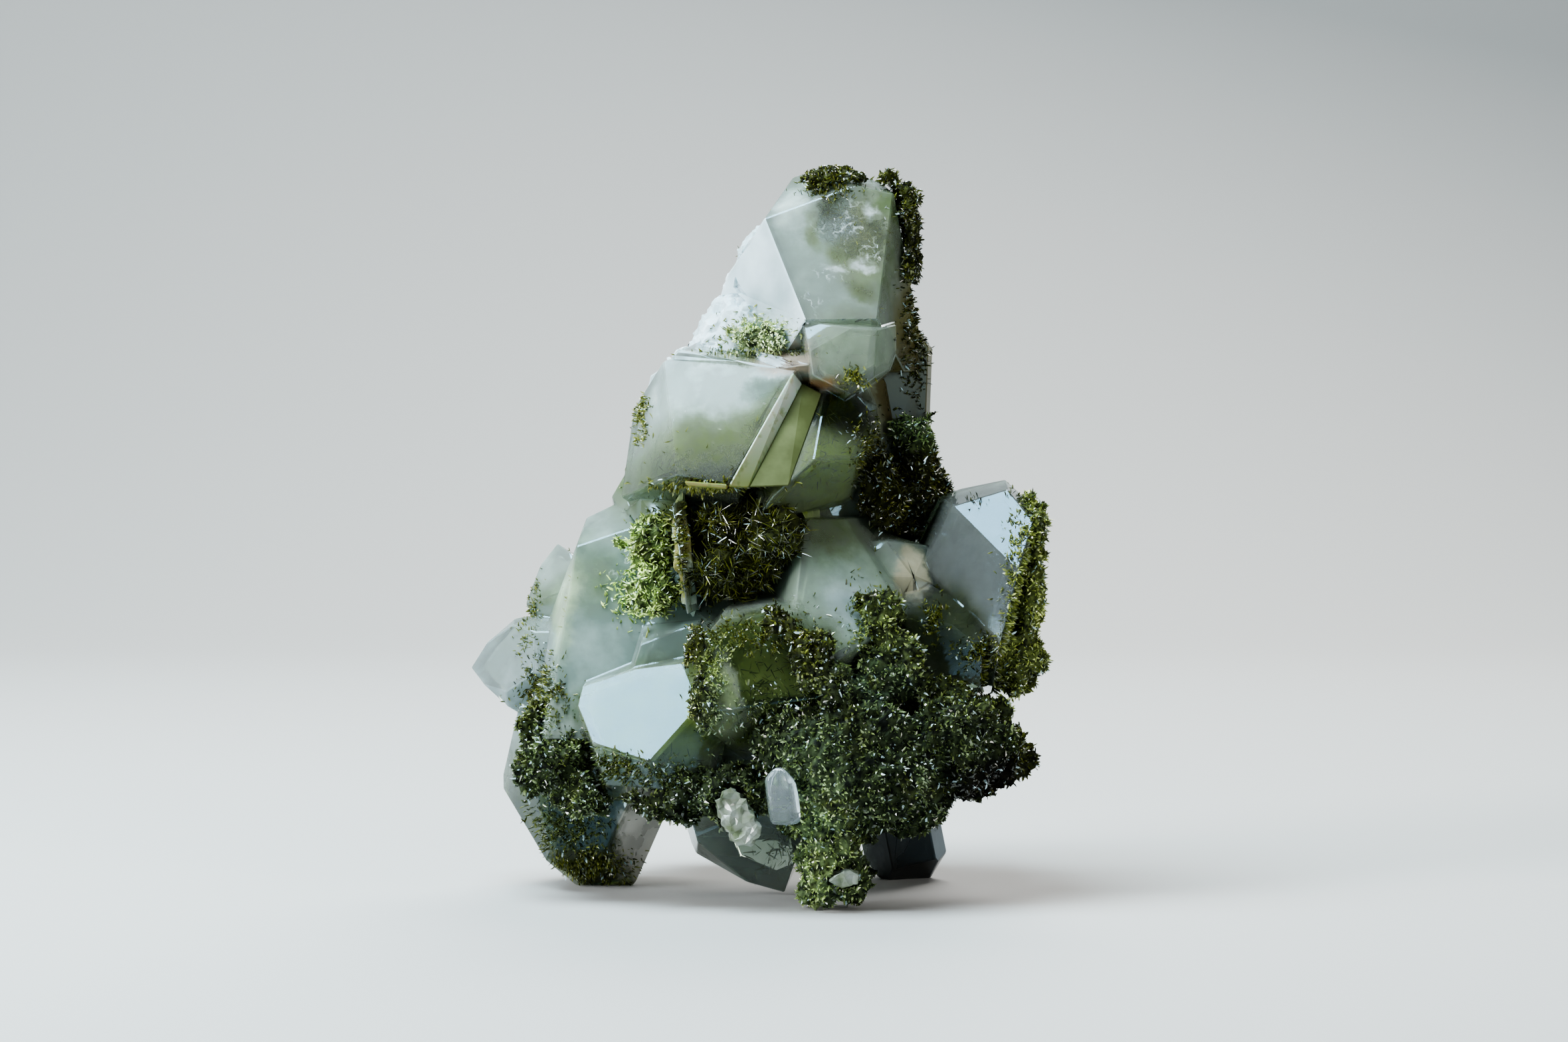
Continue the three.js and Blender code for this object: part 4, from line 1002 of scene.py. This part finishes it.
# The hidden back: the same moss on the crystals there, and under the lip of the top crystal
BACK_PATCHES = [
    ((0.5, 44.0), (5.0, 4.0), 2200, 0.0006, 0.36),
    ((-3.0, 36.5), (6.0, 1.2), 1400, 0.0006, 0.38),
    ((7.0, 36.0), (4.0, 1.2), 1000, 0.0006, 0.34),
    ((-16.0, 27.0), (3.0, 4.0), 1000, 0.0006, 0.40),
    ((8.0, 47.5), (4.0, 2.4), 900, 0.0006, 0.32),
    ((-9.0, 40.0), (3.0, 4.0), 800, 0.0006, 0.40),
    ((12.0, 30.0), (4.0, 3.0), 900, 0.0006, 0.34),
    ((-4.0, 27.0), (4.0, 3.0), 1000, 0.0006, 0.36),
    ((4.0, 21.0), (6.0, 3.0), 1300, 0.0006, 0.34),
    ((-14.0, 18.0), (4.0, 3.0), 900, 0.0006, 0.38),
    ((17.0, 18.0), (4.0, 3.0), 900, 0.0006, 0.32),
    ((2.0, 60.0), (4.0, 3.5), 600, 0.0005, 0.42),
    ((8.0, 67.5), (3.0, 1.6), 700, 0.0006, 0.36),
]
# under the lip, planted upwards from LIP_LOW: centre x and y, half widths, needles, size, tone
LIP_MOSS = ((5.0, 14.5), (6.0, 5.0), 2200, 0.0009, 0.34)
LIP_LOW = 48.8


def back_dusting():
    rng = np.random.default_rng(53)
    feet, directions, lengths, tones = [], [], [], []

    def plant(start, way, size, tone_level):
        hit, normal = quartz_face(start, way)
        if hit is not None:
            feet.append(hit - normal * FOOT_DEPTH)
            directions.append((normal + Vector(rng.normal(0, 0.6, 3))).normalized())
            lengths.append(size * rng.uniform(0.5, 1.4))
            tones.append(uneven(tone_level, rng))

    for centre, radii, count, size, tone_level in BACK_PATCHES:
        for x, z in scattered(centre, radii, count, rng):
            if math.sin(x * 1.9 + 1.3) * math.sin(z * 1.7) > CLUMP_LIMIT:
                plant(place(x, 60, z), (0, -1, 0), size, tone_level)
    (x, y), (across, deep), count, size, tone_level = LIP_MOSS
    for _ in range(count):
        start = place(x + across * rng.uniform(-1, 1), y + deep * rng.uniform(-1, 1), LIP_LOW)
        plant(start, (0, 0, 1), size, tone_level)
    piece = planted("epidote_back_dusting", feet, directions, lengths, tones, (0.2, 0.38), rng)
    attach(piece, "root")


back_dusting()


# Needles inside the quartz
# Single epidote needles that the quartz grew over, a little under its skin, thickest in the green zones.

# In quartz a needle has hardly any shine, because the stone round it bends light nearly as much
epidote_inside = epidote.copy()
epidote_inside.name = "epidote_inside"
inside_shader = epidote_inside.node_tree.nodes["Principled BSDF"]
set_values(inside_shader, {"Specular IOR Level": 0.08, "Roughness": 0.6})

# centre x, z, radii, needles, depth in metres from and to, length, tone
INCLUSIONS = [
    ((6.2, 65.4), (1.6, 1.6), 260, (0.0001, 0.0006), 0.0006, 0.30),
    ((-4.6, 41.8), (4.4, 1.9), 800, (0.0002, 0.0009), 0.0009, 0.30),
    ((-4.6, 44.6), (4.6, 1.6), 220, (0.0003, 0.0010), 0.0008, 0.38),
    ((9.4, 63.6), (2.4, 3.4), 1100, (0.0001, 0.0007), 0.0006, 0.50),
    ((9.6, 57.4), (2.0, 2.0), 160, (0.0003, 0.0010), 0.0008, 0.45),
    ((5.0, 43.0), (4.6, 4.6), 260, (0.0003, 0.0010), 0.0008, 0.36),
    ((-16.2, 29.8), (2.2, 2.2), 160, (0.0002, 0.0009), 0.0006, 0.42),
    ((-18.6, 28.0), (1.0, 4.0), 260, (0.0002, 0.0008), 0.0006, 0.55),
    ((-9.6, 13.0), (3.6, 1.6), 160, (0.0003, 0.0009), 0.0007, 0.30),
    ((0.6, 20.6), (4.6, 4.4), 200, (0.0003, 0.0009), 0.0008, 0.30),
    ((-18.0, 6.0), (4.0, 4.0), 160, (0.0004, 0.0030), 0.0009, 0.16),
    ((3.0, 4.2), (5.0, 3.0), 160, (0.0004, 0.0030), 0.0010, 0.40),
]


def inclusions():
    rng = np.random.default_rng(91)
    feet, directions, lengths, tones = [], [], [], []
    for centre, radii, count, (near, far), length, tone_level in INCLUSIONS:
        for x, z in scattered(centre, radii, count, rng):
            hit, normal = face_under(x, z)
            if hit is None:
                continue
            feet.append(hit - normal * rng.uniform(near, far))
            flat = Vector(rng.normal(0, 1, 3))
            flat -= normal * flat.dot(normal) * 0.85
            directions.append(flat.normalized())
            lengths.append(length * rng.uniform(0.5, 1.5))
            tones.append(uneven(tone_level, rng, spread=0.4, top=1))
    piece = planted("epidote_inclusions", feet, directions, lengths, tones, (0.08, 0.14), rng)
    piece.data.materials.clear()
    piece.data.materials.append(epidote_inside)
    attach(piece, "root")


inclusions()


# Frost veils
# White healed cracks inside the top and small crystals, thin ragged flecks a little under the skin.

frost, tree, shader = new_material("frost_veil")
flecks = noise_between(tree, object_coords(tree), 900, 0.4, 0.6)
frost_tint = mix(tree, flecks, (0.62, 0.72, 0.76, 1), (0.92, 0.96, 0.98, 1))
tree.links.new(frost_tint, shader.inputs["Base Color"])
set_values(shader, {"Roughness": 0.35, "Transmission Weight": 0.3})

# centre x and z and radii in the part's millimetres, flecks
FROST_GROUPS = [
    ((7.8, 64.6), (0.8, 0.6), 34),
    ((6.8, 59.4), (0.9, 0.25), 26),
    ((10.6, 61.0), (0.6, 0.6), 26),
    ((11.8, 66.2), (0.4, 0.7), 22),
    ((5.3, 57.0), (0.9, 0.3), 22),
    ((9.4, 63.0), (1.6, 1.6), 26),
    ((4.0, 54.5), (0.9, 0.5), 22),
    ((9.0, 44.4), (0.8, 0.5), 16),
    ((-13.0, 31.8), (1.6, 0.7), 12),
    ((5.2, 29.4), (1.2, 1.2), 18),
    ((10.8, 28.4), (1.0, 0.6), 16),
    ((-4.0, 46.6), (3.0, 1.6), 16),
]


def frost_veils():
    rng = np.random.default_rng(17)
    feet, directions, lengths = [], [], []
    for (x, z), (across, up), count in FROST_GROUPS:
        for _ in range(count):
            hit, normal = face_under(x + across * rng.normal(), z + up * rng.normal())
            if hit is None:
                continue
            flat = Vector(rng.normal(0, 1, 3))
            flat -= normal * flat.dot(normal) * 0.9
            feet.append(hit - normal * rng.uniform(0.00005, 0.0004))
            directions.append(flat.normalized())
            lengths.append(rng.uniform(0.00012, 0.00050))
    level = [1.0] * len(feet)
    piece = planted("frost_veils", feet, directions, lengths, level, (0.35, 0.9), rng)
    piece.data.materials.clear()
    piece.data.materials.append(frost)
    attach(piece, "root")


frost_veils()
